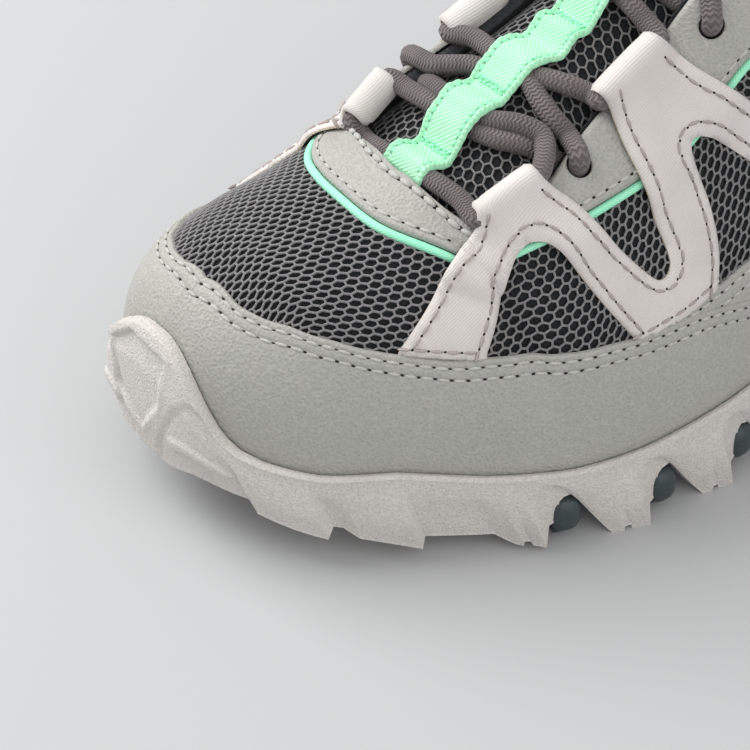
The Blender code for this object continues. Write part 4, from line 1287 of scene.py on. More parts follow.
@dataclass
class StrapShape:
    """Zigzag strap outline: station, fraction up the section; each loop's fold runs on past the throat edge."""

    outline: tuple = (
        (3.4, 0.45), (3.425, 0.465), (3.7, 0.52), (4, 0.575), (4.3, 0.63), (4.55, 0.67), (4.8, 0.695),
        (5, 0.71), (5.2, 0.775), (5.5, 0.88), (5.65, 0.935), (5.76, 0.985), (5.82, 1.03), (5.84, 1.08),
        (5.84, 1.19), (6.6, 1.19), (6.6, 1.08), (6.62, 1), (6.68, 0.94), (6.75, 0.87), (6.775, 0.77),
        (6.8, 0.675), (6.825, 0.59), (6.85, 0.54), (6.88, 0.516), (6.93, 0.507), (7, 0.511), (7.07, 0.53),
        (7.125, 0.575), (7.2, 0.665), (7.29, 0.785), (7.31, 0.855), (7.335, 0.91), (7.345, 0.985), (7.36, 1.08),
        (7.36, 1.19), (7.95, 1.19), (7.95, 1.08), (7.96, 1), (8.075, 0.915), (8.19, 0.825), (8.3, 0.75),
        (8.42, 0.66), (8.6, 0.54), (8.75, 0.44), (8.38, 0.42), (8.25, 0.49), (8.125, 0.585), (8.05, 0.645),
        (7.99, 0.69), (7.9, 0.733), (7.83, 0.75), (7.775, 0.753), (7.73, 0.73), (7.72, 0.65), (7.65, 0.57),
        (7.55, 0.495), (7.45, 0.44), (7.325, 0.393), (7.3, 0.375), (6.95, 0.37), (6.6, 0.385), (6.36, 0.4),
        (6.355, 0.43), (6.35, 0.485), (6.35, 0.55), (6.375, 0.655), (6.4, 0.755), (6.4, 0.825), (6.36, 0.87),
        (6.3, 0.897), (6.24, 0.912), (6.15, 0.912), (6.06, 0.897), (5.975, 0.87), (5.6, 0.745), (5.25, 0.63),
        (5, 0.548), (4.9, 0.528), (4.625, 0.465), (4.425, 0.415), (4.4, 0.395), (3.9, 0.42),
    )
    metric: tuple[float, float] = (20.0, 70.0)
    set_back: float = 0.15
    set_ahead: float = 0.25
    front_edge: int = 13

    def ring(self, side: int, pitch: float) -> Points:
        """Rounded outline on one side, with corners no further apart than pitch in mm.

        Args:
            side: OUTER or INNER.
            pitch: widest gap between corners.

        Returns:
            Closed outline.
        """
        ring = np.array(self.outline)
        if side > 0:
            front = np.clip((6.2 - ring[:, 0]) / 1.2, 0, 1) * np.clip((ring[:, 1] - 0.6) / 0.2, 0, 1)
            ahead = np.arange(len(ring)) < self.front_edge
            ring[:, 0] += np.where(ahead, -self.set_ahead, self.set_back) * front * (ring[:, 1] < 0.96)
            for mine, other in zip(LOOPS[OUTER], LOOPS[INNER]):
                for end in (0, 1):
                    near = np.clip(1 - np.abs(ring[:, 0] - mine[end]) / 0.15, 0, 1) * ease((ring[:, 1] - 0.84) / 0.1)
                    ring[:, 0] += (other[end] - mine[end]) * np.minimum(near * 2, 1)
        after = np.roll(ring, -1, 0)
        ring = np.stack([ring * 0.8 + after * 0.2, ring * 0.2 + after * 0.8], 1).reshape(-1, 2)
        fine = []
        for a, b in zip(ring, np.roll(ring, -1, 0)):
            cuts = max(1, round(math.hypot(*((b - a) * self.metric)) / pitch))
            fine += [a + (b - a) * i / cuts for i in range(cuts)]
        return np.array(fine)


@dataclass
class Upper:
    """Net textile shell with its lining, and the yarn of the net over it."""

    last: Last
    cloths: dict
    strap: StrapShape
    row_pitch: float = 2.08
    yarn_r: float = 0.28

    def build(self) -> None:
        """Make the shell and the net."""
        self.shell()
        self.net()

    def shell(self) -> None:
        """Backing cloth outside and lining inside, open at the throat, collar and underneath."""
        half = np.concatenate([np.linspace(0, 5, 61), np.linspace(5.08, 13, 100)])
        sts = np.concatenate([[-float(HEEL)], -half[-2:0:-1], half[:-1]])
        ups = np.linspace(0, 1, 34)
        n, m = len(sts), len(ups)
        st, up = np.meshgrid(sts, ups, indexing="ij")
        pad = np.clip((np.abs(st) - 9.0) / 1.5, 0, 1) * np.clip((up - 0.6) / 0.2, 0, 1)
        skin = self.last.point(st, up)
        lining = self.last.place(st, up, -(WALL + (COLLAR_WALL - WALL) * pad))
        pts = np.concatenate([skin.reshape(-1, 3), lining.reshape(-1, 3)])

        def at(layer: int, i: int, j: int) -> int:
            """Number of a shell point; both sides share the vamp's ridge.

            Args:
                layer: 0 outside, 1 inside.
                i: column.
                j: row.

            Returns:
                Number in the mesh.
            """
            if j == m - 1 and -THROAT - 0.01 < sts[i] < 0:
                i = n - i
            return layer * n * m + i * m + j

        faces = []
        kinds = []
        for i in range(n):
            k = (i + 1) % n
            for layer in (0, 1):
                for j in range(m - 1):
                    face = (at(layer, i, j), at(layer, k, j), at(layer, k, j + 1), at(layer, i, j + 1))
                    faces.append(face if layer else face[::-1])
                    kinds.append(layer)
            faces.append((at(0, k, 0), at(1, k, 0), at(1, i, 0), at(0, i, 0)))
            kinds.append(1)
            if min(abs(sts[i]), abs(sts[k])) > THROAT - 0.01:
                faces.append((at(0, i, m - 1), at(1, i, m - 1), at(1, k, m - 1), at(0, k, m - 1)))
                kinds.append(1)
        used = sorted({v for face in faces for v in face})
        order = {v: i for i, v in enumerate(used)}
        faces = [[order[v] for v in face] for face in faces]
        shell = BENCH.mesh("upper_shell", pts[used], faces, (NET_BACK, LINING), np.array(kinds))
        BENCH.bevel(BENCH.outward(shell), 0.9, 50.0, 3)
        BENCH.hand_over(shell, "net_textile", "upper")

    def hidden(self, side: int, st: Points, up: Points, spot: Points) -> Points:
        """Which net points lie under a leather band, the eyestay or a strap.

        Args:
            side: OUTER or INNER.
            st: stations.
            up: fractions up.
            spot: positions.

        Returns:
            True where the net is covered.
        """
        guard = np.where(st < GUARD_END, look_up(GUARD_TOP, 1, st), 0.0) - 1.2
        foxing = np.where(st > 6.9, look_up(FOXING_TOP, 1, st), 0.0) - 1.2
        covered = spot[..., 2] < np.maximum(guard, foxing)
        covered |= inside(spot, Curve([row[1:] for row in EYESTAY]).spread(90))
        covered |= (st > GUARD_END) & (up > 0.975)
        ring = self.strap.ring(side, 2.0)
        chart = np.stack([st, up], -1)
        under = inside(chart, ring)
        under[under] = gap_to(chart[under], ring, self.strap.metric) > 1.4
        return covered | under

    def net(self) -> None:
        """Honeycomb of yarn over the open parts of both sides, joined along the ridge."""
        points, facing, edges, rear = [], [], [], []
        seams, ends = {}, {}
        for side in (OUTER, INNER):
            cloth = self.cloths[side]
            rows = np.arange(0, 48)
            i, k = np.meshgrid(rows, np.arange(cloth.count), indexing="ij")
            peak = (i + k) % 2 == 0
            r = i * self.row_pitch - self.row_pitch * np.where(peak, 2.0, 1.0) / 3.0
            st, up, hit = cloth.locate(k, r)
            spot = self.last.place(side * st, up, np.full(st.shape, 0.55))
            hit &= ~self.hidden(side, st, up, spot)
            number = np.full(hit.shape, -1)
            number[hit] = np.arange(hit.sum()) + len(points)
            points.extend(spot[hit])
            rear.extend(st[hit] > GUARD_END)
            ends[side] = number[:, -1]
            facing.extend(self.last.normal(side * st, up)[hit])
            edges += honeycomb(number, peak)
            seams[side] = {c: v for c, v in zip(np.arange(cloth.count), number[1]) if v >= 0 and peak[1, c]}
        for c in seams[OUTER].keys() & seams[INNER].keys():
            edges.append((seams[OUTER][c], seams[INNER][c]))
        edges += [(a, b) for a, b in zip(ends[OUTER], ends[INNER]) if a >= 0 and b >= 0]
        edges = np.array(edges)
        loose = (np.bincount(edges.ravel(), minlength=len(points)) == 1) & np.array(rear)
        edges = edges[~loose[edges].any(1)]
        net = BENCH.wires("upper_net", np.array(points), edges, np.array(facing))
        TREES.grow(net, TREES.yarn, NET, Radius=self.yarn_r * MM, Sides=6)
        BENCH.hand_over(net, "net_textile")


@dataclass
class LeatherBands:
    """Toe guard and rear counter band, with their double seams."""

    last: Last
    seam: Seam
    rows: tuple = (0.0, 0.22, 0.5, 0.85, 1.25, 1.6, 1.9, 2.2, 2.6, 3.1, 3.6, 4.1, 4.4, 4.7, 5.0, 5.5, 6.3, 7.4)
    rest: int = 16
    lines: tuple[float, float] = (SEAM_IN, 4.7)
    seam_end: float = 3.0

    def build(self) -> None:
        """Make both bands."""
        far = np.linspace(0, GUARD_END, 190)
        sts = np.concatenate([-far[:0:-1], far])
        wave = 0.14 * np.sin(sts * 5.1) + 0.06 * np.sin(sts * 11.3 + 1.0)
        high = self.last.up_at(sts, look_up(GUARD_TOP, 1, np.abs(sts)) + wave)
        guard = self.band("mudguard", sts, self.tuck(sts), high, GAP + 0.15)
        BENCH.hand_over(guard, "grey_leather", "mudguard")
        far = np.linspace(6.5, HEEL, 130)
        sts = np.concatenate([-far, far[-2::-1]])
        guard_top = look_up(GUARD_TOP, 1, np.abs(sts)) - 2.5
        low = self.tuck(sts)
        low = np.where(np.abs(sts) > 9.0, low, np.maximum(low, self.last.up_at(sts, guard_top)))
        high = np.maximum(self.last.up_at(sts, look_up(FOXING_TOP, 1, np.abs(sts))), low + 0.03)
        tucked = 0.45 * (1 - ease((np.abs(sts) - GUARD_END) / 0.6))
        counter = self.band("foxing", sts, low, high, GAP + 0.1 - tucked)
        BENCH.hand_over(counter, "grey_leather", "foxing")

    def tuck(self, sts: Points) -> Points:
        """Lower edge of the leather, just inside the sole's rim."""
        rim = look_up(RIM, 1, np.abs(sts)) - 3.0
        return self.last.up_at(sts, np.maximum(rim, self.last.base(sts + HEEL)[:, 2] + 0.6))

    def band(self, name: str, sts: Points, low: Points, high: Points, lift: Points) -> Object:
        """Strip of leather with a rounded cut edge, sunk seams and a stitched double row.

        Args:
            name: name of the piece.
            sts: stations of its columns.
            low: lower edge, as a fraction up.
            high: upper edge, as a fraction up.
            lift: clearance off the upper.

        Returns:
            The band.
        """
        fine = np.linspace(0, 1, 120)
        ups = high[:, None] + (low - high)[:, None] * fine
        run = run_of(self.last.point(sts[:, None], ups))
        marks = np.array(self.rows)
        up, depth = [], []
        for row, length in zip(ups, run):
            total = length[-1]
            head = marks * min(1.0, total / (marks[-1] * 1.4))
            want = np.concatenate([head, np.linspace(head[-1], total, self.rest + 1)[1:]])
            up.append(np.interp(want, length, row))
            depth.append(want)
        up, depth = np.array(up)[:, ::-1], np.array(depth)[:, ::-1]
        st = np.repeat(sts[:, None], up.shape[1], 1)
        along = run_of(self.last.point(sts, high))[:, None]
        edge = rounded(depth / 0.75)
        thick = GUARD_T * (0.3 + 0.7 * edge)
        for line in self.lines:
            pull = 0.75 + 0.25 * np.cos(along * math.tau / self.seam.pitch)
            thick = thick - 0.3 * bell((depth - line) / 0.42) * pull
        thick = thick + 0.14 * bell((depth - 3.3) / 0.9)
        lift = np.broadcast_to(np.asarray(lift, float), sts.shape)[:, None] + 0 * st
        pts, faces, kinds = plate(self.last.place(st, up, lift), self.last.place(st, up, lift + thick))
        for line in self.lines:
            level = np.array([np.interp(line, d[::-1], u[::-1]) for d, u in zip(depth, up)])
            keep = (depth[:, 0] > line + 1.5) & (along[:, 0] > self.seam_end)
            keep &= along[:, 0] < along[-1, 0] - self.seam_end
            if keep.any():
                spot = self.last.place(sts, level, lift[:, 0] + GUARD_T - 0.22)
                self.seam.add(spot[keep], self.last.normal(sts, level)[keep])
        return BENCH.outward(BENCH.mesh(name, pts, faces, (LEATHER, CUT_EDGE), kinds, sharp=55))


@dataclass
class Eyestay:
    """Leather bar round the throat with its eyelets, its seams and the mint piping outside it."""

    last: Last
    seam: Seam
    rope: Seam
    columns: int = 230
    rows: int = 26
    # Soft troughs: plan s, y at both ends, width, depth
    creases: tuple = (
        (56, -14, 60.5, -22, 1.6, 0.35), (61.5, -23, 66, -27, 1.4, 0.4),
        (58.5, -20.5, 59, -26, 1.2, 0.3), (92, -21, 98, -26.5, 2, 0.35),
        (88.5, -24, 94, -28, 1.5, 0.25), (54, 17, 58, 24, 1.6, 0.3),
        (118, -18, 123, -23, 1.8, 0.3), (88, 24, 94, 28, 1.8, 0.3),
    )

    def build(self) -> None:
        """Make the bar, its stitching and the piping."""
        line = StayEdge(self.last, self.columns)
        inner = self.last.point(line.throat, STAY_EDGE_UP)[:, :2]
        part = np.linspace(0, 1, self.rows)
        st, up = [line.throat], [np.full(self.columns, STAY_EDGE_UP)]
        for one in part[1:]:
            plan = inner + (line.plan - inner) * one
            a, b = self.last.chart(plan[:, 0], plan[:, 1])
            st.append(a)
            up.append(b)
        st, up = np.array(st).T, np.array(up).T
        face = self.last.point(st, up)
        run = run_of(face)
        back = run[:, -1:] - run
        edge = rounded(np.minimum(run, back) / 0.8)
        thick = STAY_T * (0.35 + 0.65 * edge)
        thick = thick - 0.25 * bell((back - SEAM_IN) / 0.45)
        for s0, y0, s1, y1, width, deep in self.creases:
            a, b = np.array((s0, y0)), np.array((s1, y1))
            t = np.clip(((face[..., :2] - a) * (b - a)).sum(-1) / ((b - a) ** 2).sum(), 0, 1)
            gap = np.linalg.norm(face[..., :2] - a - t[..., None] * (b - a), axis=-1)
            swell = bell(gap / width) - 0.5 * bell((gap - 1.8 * width) / width)
            thick = thick - deep * swell * np.sin(np.clip(t, 0.08, 0.92) * math.pi)
        lift = np.full(st.shape, GAP + 0.25)
        pts, faces, kinds = plate(self.last.place(st, up, lift), self.last.place(st, up, lift + thick))
        bar = BENCH.outward(BENCH.mesh("eyestay", pts, faces, (LEATHER, LEATHER), kinds, sharp=60))
        self.punch(bar)
        BENCH.hand_over(bar, "grey_leather", "eyestay")
        top = self.last.place(st, up, lift + thick - 0.05)
        normal = self.last.normal(st, up)
        self.run_seam(self.seam, top, normal, back, slice(0, self.columns))
        front = np.where(np.abs(line.throat) < THROAT + 1.02)[0]
        self.run_seam(self.rope, top, normal, run, slice(front[0], front[-1] + 1))
        self.piping(line)

    def run_seam(self, seam: Seam, top: Points, normal: Points, depth: Points, where: slice) -> None:
        """Lay a stitched path inside an edge.

        Args:
            seam: stitching to add to.
            top: grid of the leather's outer face.
            normal: grid of its normals.
            depth: distance from the edge over the grid.
            where: columns that the path crosses.
        """
        path, facing = [], []
        for row, n, d in zip(top[where], normal[where], depth[where]):
            order = np.argsort(d)
            path.append(read_along(SEAM_IN, d[order], row[order]))
            facing.append(read_along(SEAM_IN, d[order], n[order]))
        seam.add(np.array(path), unit(np.array(facing)))

    def punch(self, bar: Object) -> None:
        """Cut the eyelet holes.

        Args:
            bar: the eyestay.
        """
        points, faces = [], []
        sides = 28
        for side in (OUTER, INNER):
            for st, up in EYELETS:
                at = self.last.point(side * st, up)
                axis = self.last.normal(side * st, up)
                across = unit(np.cross(axis, (1.0, 0.0, 0.0)))
                other = np.cross(axis, across)
                start = len(points)
                for end in (-6.0, 6.0):
                    for a in np.linspace(0, math.tau, sides, endpoint=False):
                        points.append(at + axis * end + (across * math.cos(a) + other * math.sin(a)) * EYELET_R)
                faces += [tuple(range(start, start + sides)), tuple(range(start + sides, start + 2 * sides))]
                faces += grid_ring(2, sides, start)
        tool = BENCH.outward(BENCH.mesh("eyelet_punch", np.array(points), faces, (LEATHER,)))
        mod = bar.modifiers.new("eyelets", "BOOLEAN")
        mod.operation = "DIFFERENCE"
        mod.solver = "EXACT"
        mod.object = tool
        BENCH.settle(bar)
        bpy.data.objects.remove(tool, do_unlink=True)

    def piping(self, line: StayEdge) -> None:
        """Rolled mint edge outside the bar.

        Args:
            line: the eyestay's outer edge.
        """
        width, rise = 1.9, 1.15
        turn = np.linspace(0, math.pi, 9)
        low, high = [], []
        for a in turn:
            foot = line.edge + line.out * (GAP * 0.4 + width * 0.5 * (1 - math.cos(a)))
            low.append(foot + line.normal * 0.1)
            high.append(foot + line.normal * (0.35 + rise * math.sin(a) ** 0.7))
        low, high = np.stack(low, 1), np.stack(high, 1)
        pts, faces, kinds = plate(low, high)
        run = np.repeat(run_of(line.edge)[:, None], len(turn), 1)
        uv = np.stack([run, np.repeat(turn[None] * 1.2, len(run), 0)], -1).reshape(-1, 2)
        pipe = BENCH.mesh("piping", pts, faces, (MINT_PIPE,), 0 * kinds, np.concatenate([uv, uv]))
        BENCH.hand_over(BENCH.outward(pipe), "mint_tape", "piping")


@dataclass
class Straps:
    """Ribbed zigzag straps with folded lace loops and stitched edges."""

    last: Last
    shape: StrapShape
    seam: Seam
    fold_from: float = 0.895
    fold_scale: float = 62.0
    fold_axis: tuple[float, float] = (0.6, 4.35)
    # Direction along the ribs and across them, for the outer strap
    rib_along: tuple[float, float, float] = (0.883, 0.16, 0.441)
    rib_across: tuple[float, float, float] = (-0.435, 0.64, 0.638)
    # How far below the eyestay's edge each strap starts to climb over it
    climb_outer: float = 7.5
    climb_inner: float = 4.0
    pitch: float = 1.1
    rounds: int = 30
    # Fraction up where the ribs start to follow the fold, and over how much they change
    rib_turn: tuple[float, float] = (0.78, 0.11)
    # Middle line of the folded end: inward past the throat edge, off the face
    fold: tuple = (
        (-6.5, 3.3), (-4.6, 3.5), (-2.6, 4.9), (-0.9, 6.9), (0.6, 7.7), (2.3, 7.3), (3.6, 5.9), (3.95, 4.3),
        (3.5, 2.6), (2.4, 1.5), (1.2, 1.1),
    )

    def build(self) -> None:
        """Make both straps."""
        line = StayEdge(self.last, 80)
        for side, name in ((OUTER, "strap_lateral"), (INNER, "strap_medial")):
            self.strap(name, side, line)

    def spread(self, side: int, chart: Points, over: Points, off: Points) -> Points:
        """Positions of chart points at a height off the strap's middle.

        Args:
            side: OUTER or INNER.
            chart: station and fraction up.
            over: height and s of the eyestay's edge, by s.
            off: height off the middle of the strap.

        Returns:
            Positions.
        """
        st, up = side * chart[:, 0], chart[:, 1]
        face = self.last.point(st, up)
        top = np.interp(face[:, 0], over[:, 0], over[:, 1])
        reach = self.climb_outer if side == OUTER else self.climb_inner
        lift = GAP + (STRAP_OVER - GAP) * ease((face[:, 2] - top + reach) / 4.0) + 0.1 + STRAP_T / 2
        lying = self.last.place(st, np.minimum(up, 1.05), lift + off)
        knots = Curve(self.fold).spread(200)
        run = run_of(knots)
        far = np.maximum(up - self.fold_from, 0) * self.fold_scale
        at = read_along(far, run, knots)
        slope = unit(read_along(far + 0.3, run, knots) - read_along(far - 0.3, run, knots))
        at = at + np.stack([-slope[:, 1], slope[:, 0]], -1) * np.asarray(off)[:, None]
        moved = lying
        for loop in LOOPS[side]:
            axis, inward, normal, part = loop_axis(self.last, side, loop, chart[:, 0])
            folded = axis + inward * (at[:, :1] - self.fold_axis[0]) + normal * (at[:, 1:] - self.fold_axis[1])
            hold = ease((part + 0.3) / 0.3) * ease((1.3 - part) / 0.3) * ease(far / 5.0)
            moved = moved + (folded - moved) * hold[:, None]
        return moved

    def strap(self, name: str, side: int, line: StayEdge) -> None:
        """One strap from the toe guard to its loops.

        Args:
            name: name of the piece.
            side: OUTER or INNER.
            line: the eyestay's outer edge.
        """
        metric = np.array(self.shape.metric)
        ring = self.shape.ring(side, self.pitch)
        gx, gy = np.meshgrid(np.arange(3.5, 9.3, self.pitch / 20), np.arange(0.38, 1.19, self.pitch / 70))
        gx = gx + (np.arange(len(gx)) % 2)[:, None] * self.pitch / 40
        seeds = np.column_stack([gx.ravel(), gy.ravel()])
        seeds = seeds[inside(seeds, ring)]
        away = gap_to(seeds, ring, metric)
        seeds = seeds[away > self.pitch * 0.4]
        flat = np.concatenate([ring, seeds]) * metric
        rim = [(i, (i + 1) % len(ring)) for i in range(len(ring))]
        verts, _, tris = delaunay_2d_cdt([Vector(p) for p in flat], rim, [], 1, 0.0001)[:3]
        tris = np.array(tris)
        chart = np.array([v[:] for v in verts]) / metric
        n = len(chart)
        away = gap_to(chart, ring, metric)
        away[: len(ring)] = 0.0
        edge = line.edge[line.edge[:, 1] * side > 16.0]
        edge = edge[np.argsort(edge[:, 0])]
        over = edge[:, [0, 2]]
        soft = rounded(away / 0.9)
        sunk = 0.22 * bell((away - SEAM_IN) / 0.5)
        top = self.spread(side, chart, over, np.full(n, 0.0))
        top = self.relax(top, tris, len(ring), chart)
        out = self.facing(top, tris, side)
        middle = top
        under = top - out * (STRAP_T / 2)
        top = top + out * (STRAP_T * (-0.1 + 0.6 * soft) - sunk)[:, None]
        faces = [tuple(t) for t in tris] + [tuple(v + n for v in t[::-1]) for t in tris]
        faces += [(i, (i + 1) % len(ring), (i + 1) % len(ring) + n, i + n) for i in range(len(ring))]
        kinds = np.array([0] * (2 * len(tris)) + [1] * len(ring))
        face = self.last.point(side * chart[:, 0], np.minimum(chart[:, 1], self.fold_from))
        face = middle + (face - middle) * ease((chart[:, 1] - self.rib_turn[0]) / self.rib_turn[1])[:, None]
        uv = (face * (1, -side, 1)) @ np.array((self.rib_along, self.rib_across)).T
        uv[:, 1] += np.maximum(chart[:, 1] - self.fold_from, 0) * self.fold_scale
        strap = BENCH.mesh(
            name, np.concatenate([under, top]), faces, (STRAP, RAW_EDGE), kinds, np.concatenate([uv, uv]), sharp=60
        )
        BENCH.hand_over(BENCH.outward(strap), "ribbed_strap", name)
        self.stitch(side, chart * metric, tris, top, out)

    def relax(self, points: Points, tris: Points, rim: int, chart: Points) -> Points:
        """Even out the strap over the throat's corner, along its rim and inside it.

        Args:
            points: positions of the strap's middle.
            tris: its triangles.
            rim: number of rim points, which come first.
            chart: station and fraction up of each point.

        Returns:
            Smoothed positions.
        """
        st, up = chart.T
        hold = ease((st - 4.5) / 0.4) * ease((8.6 - st) / 0.4) * ease((1.06 - up) / 0.08) * ease((up - 0.55) / 0.2)
        hold = hold * (0.2 + 0.35 * ease((6.6 - st) / 0.4))
        sides = np.concatenate([tris[:, [0, 1]], tris[:, [1, 2]], tris[:, [2, 0]]])
        sides = np.concatenate([sides, sides[:, ::-1]])
        sides = sides[sides[:, 0] >= rim]
        loop = np.arange(rim)
        sides = np.concatenate([sides] + [np.column_stack([loop, (loop + step) % rim]) for step in (1, -1)])
        count = np.bincount(sides[:, 0], minlength=len(points))[:, None]
        for _ in range(self.rounds):
            total = np.zeros_like(points)
            np.add.at(total, sides[:, 0], points[sides[:, 1]])
            points = points + (total / np.maximum(count, 1) - points) * hold[:, None]
        return points

    def facing(self, points: Points, tris: Points, side: int) -> Points:
        """Outward normals of the strap's middle face.

        Args:
            points: positions.
            tris: triangles.
            side: OUTER or INNER.

        Returns:
            Unit normals.
        """
        a, b, c = (points[tris[:, i]] for i in range(3))
        flat = np.cross(b - a, c - a) * -side
        total = np.zeros_like(points)
        for i in range(3):
            np.add.at(total, tris[:, i], flat)
        return unit(total)

    def stitch(self, side: int, flat: Points, tris: Points, top: Points, out: Points) -> None:
        """Sew a row round the strap inside its edge, where it lies on the shoe.

        Args:
            side: OUTER or INNER.
            flat: chart places of the strap's points, in mm.
            tris: its triangles.
            top: positions on its outer face.
            out: normals there.
        """
        metric = np.array(self.shape.metric)
        ring = self.shape.ring(side, 0.8) * metric
        along = unit(np.roll(ring, -1, 0) - np.roll(ring, 1, 0))
        turn = np.sign(np.cross(ring, np.roll(ring, -1, 0)).sum())
        inset = ring + turn * np.stack([-along[:, 1], along[:, 0]], -1) * SEAM_IN
        near = gap_to(inset, ring, 1.0)
        chart = inset / metric
        shown = (near > 1.8) & (chart[:, 1] < 0.985) & inside(chart, ring / metric)
        shown &= self.last.point(side * chart[:, 0], chart[:, 1])[:, 2] > look_up(GUARD_TOP, 1, chart[:, 0]) + 0.5
        start = int(np.argmin(shown))
        order = np.roll(np.arange(len(chart)), -start)
        path = []
        for i in list(order) + [order[0]]:
            if shown[i]:
                path.append(i)
            elif path:
                self.lay(inset[path], flat, tris, top, out)
                path = []

    def lay(self, path: Points, flat: Points, tris: Points, top: Points, out: Points) -> None:
        """Carry one run of the seam from the flat chart to the strap's face.

        Args:
            path: chart places of the run, in mm.
            flat: chart places of the strap's points, in mm.
            tris: its triangles.
            top: positions on its outer face.
            out: normals there.
        """
        a, b, c = (flat[tris[:, i]] for i in range(3))
        area = np.cross(b - a, c - a)
        spots, ways = [], []
        for p in path:
            parts = [np.cross(b - p, c - p), np.cross(c - p, a - p), np.cross(a - p, b - p)]
            share = np.stack(parts, -1) / area[:, None]
            best = int(np.argmax(share.min(1)))
            if share[best].min() > -0.05:
                spots.append(share[best] @ top[tris[best]])
                ways.append(share[best] @ out[tris[best]])
        if len(spots) > 6:
            self.seam.add(np.array(spots), unit(np.array(ways)))


@dataclass
class Sole:
    """Pale midsole cup with toe bumper and raked lugs, and the dark tread under it."""

    last: Last
    lug_depth: float = 10.0
    flare_front: float = 4.2
    flare_rear: float = 6.0
    flare_gap: float = 3.2
    rake: float = 6.0
    toe_flare: float = 5.2
    flare_mean: float = 4.0
    # Underside along the shoe: s, ground clearance, height of the recess over the lugs
    keel_rows: tuple = (
        (-2, 15, 19), (10, 12.8, 16.5), (20, 9.6, 14.5), (31, 6.4, 12.5), (43, 3.9, 11),
        (60, 2.1, 10.2), (80, 0, 9.6), (118, 0, 9.6), (130, 1.2, 10.5), (150, 3.5, 12),
        (172, 3, 12), (188, 0, 11), (240, 0, 11), (256, 2.5, 12),
    )
    # Rim lugs: end of the gap ahead, front edge, rear edge, start of the gap behind, notch heights ahead and behind
    outer_lugs: tuple = (
        (13.6, 14.2, 24.5, 25.3, 2.2, 1.6), (27, 30, 42, 42.7, 1.6, 1.4), (56, 60, 66, 67.3, 2.2, 12),
        (71.5, 80.5, 89, 90.3, 12.6, 12.6), (95, 104.5, 112, 113.3, 13.4, 13.6),
        (118, 127, 135, 136.3, 13, 11), (141, 150, 158, 159.3, 11, 10),
        (164, 173, 181, 182.3, 10, 11), (187, 195, 204, 205.3, 11, 11),
        (210, 217, 226, 227.3, 11, 10.5), (232, 235, 240.5, 242, 10.5, 3),
    )
    inner_lugs: tuple = (
        (12.4, 13, 22, 22.8, 2.2, 1.6), (25, 28, 39, 39.7, 1.6, 1.4), (52, 56, 62, 63.3, 2.2, 11),
        (67.5, 76, 85, 86.3, 11, 12), (91, 100, 108, 109.3, 12, 13.5),
        (114, 123, 131, 132.3, 13, 11), (137, 147, 155, 156.3, 11, 10),
        (161, 171, 179, 180.3, 10, 11), (185, 194, 203, 204.3, 11, 11),
        (209, 217, 226, 227.3, 11, 10.5), (232, 235, 240.5, 242, 10.5, 3),
    )
    nick: float = 1.2
    # Six-sided panel on the toe: y, z of its corners
    panel: tuple = ((18.0, 44.0), (5.6, 43.0), (6.3, 31.0), (13.0, 21.5), (23.0, 27.0), (25.4, 38.0))
    # Dark lugs in the gaps: half sizes, squareness, then their place behind, inside and below the arch
    gap_half: tuple[float, float, float] = (3.5, 3.5, 4.6)
    gap_square: float = 0.72
    gap_place: tuple[float, float, float] = (1.8, 1.9, 5.6)
    panel_lip: float = 0.3
    panel_depth: float = 0.8

    def build(self) -> None:
        """Make the midsole, then soften the tread and footbed solids."""
        self.midsole()
        self.gap_lugs()
        tread = BENCH.node_copy("outsole", "tread", DARK_RUBBER, 1.0)
        BENCH.hand_over(tread, "dark_rubber", "outsole")
        footbed = BENCH.node_copy("insole", "footbed", FOOTBED, 1.2)
        BENCH.hand_over(footbed, "insole_cloth", "insole")

    def keel(self, s: Points) -> tuple[Points, Points]:
        """Ground clearance and recess height under the sole."""
        return look_up(self.keel_rows, 1, s), look_up(self.keel_rows, 2, s)

    def side_columns(self, side: int, lugs: tuple) -> list:
        """Columns along one side: rim station, foot station, foot height, flare.

        Args:
            side: OUTER or INNER.
            lugs: rows of its lugs.

        Returns:
            Columns from toe to heel.
        """
        cols = []
        for st in (0.2, 0.4, 0.6, 0.8, 1.0):
            s = self.last.base(np.array(side * st + HEEL))[0] - 5.0
            rise = 2.8 * bell((st - 0.95) / 0.35)
            cols.append((side * st, side * st, self.keel(s)[0] + rise, self.toe_flare))
        for ahead, front, rear, behind, first, last in lugs:
            edges = [(ahead, first, self.flare_gap), (front, 0.0, self.flare_front)]
            if front > 50:
                mid = front + (rear - front) * 0.42
                wide = self.flare_front + (self.flare_rear - self.flare_front) * 0.42
                nick = ((0.9, 0.0), (0.75, self.nick), (-0.75, self.nick), (-0.9, 0.0))
                edges += [(mid - d, z, wide) for d, z in nick]
            edges.append((rear, 0.0, self.flare_rear))
            if last > 6:
                edges += [
                    (rear + 0.8, 4.6, 4.0), (rear + 2.3, 5.4, 3.6), (rear + 2.9, last - 1.2, 3.3),
                    (rear + 3.9, last, 3.2),
                ]
            else:
                edges.append((behind, last, self.flare_gap))
            for s, drop, flare in edges:
                lean = self.rake * np.interp(s, (10, 30, 60, 190, 236), (0.5, 0.7, 1, 1, 0))
                rim, foot = self.last.station(side, np.array((s - lean, s)))
                cols.append((side * rim, side * foot, self.keel(s)[0] + drop, flare))
        for st in (12.3, 12.55, 12.8):
            cols.append((side * st, side * st, self.keel(252.0)[0], self.flare_rear))
        return cols

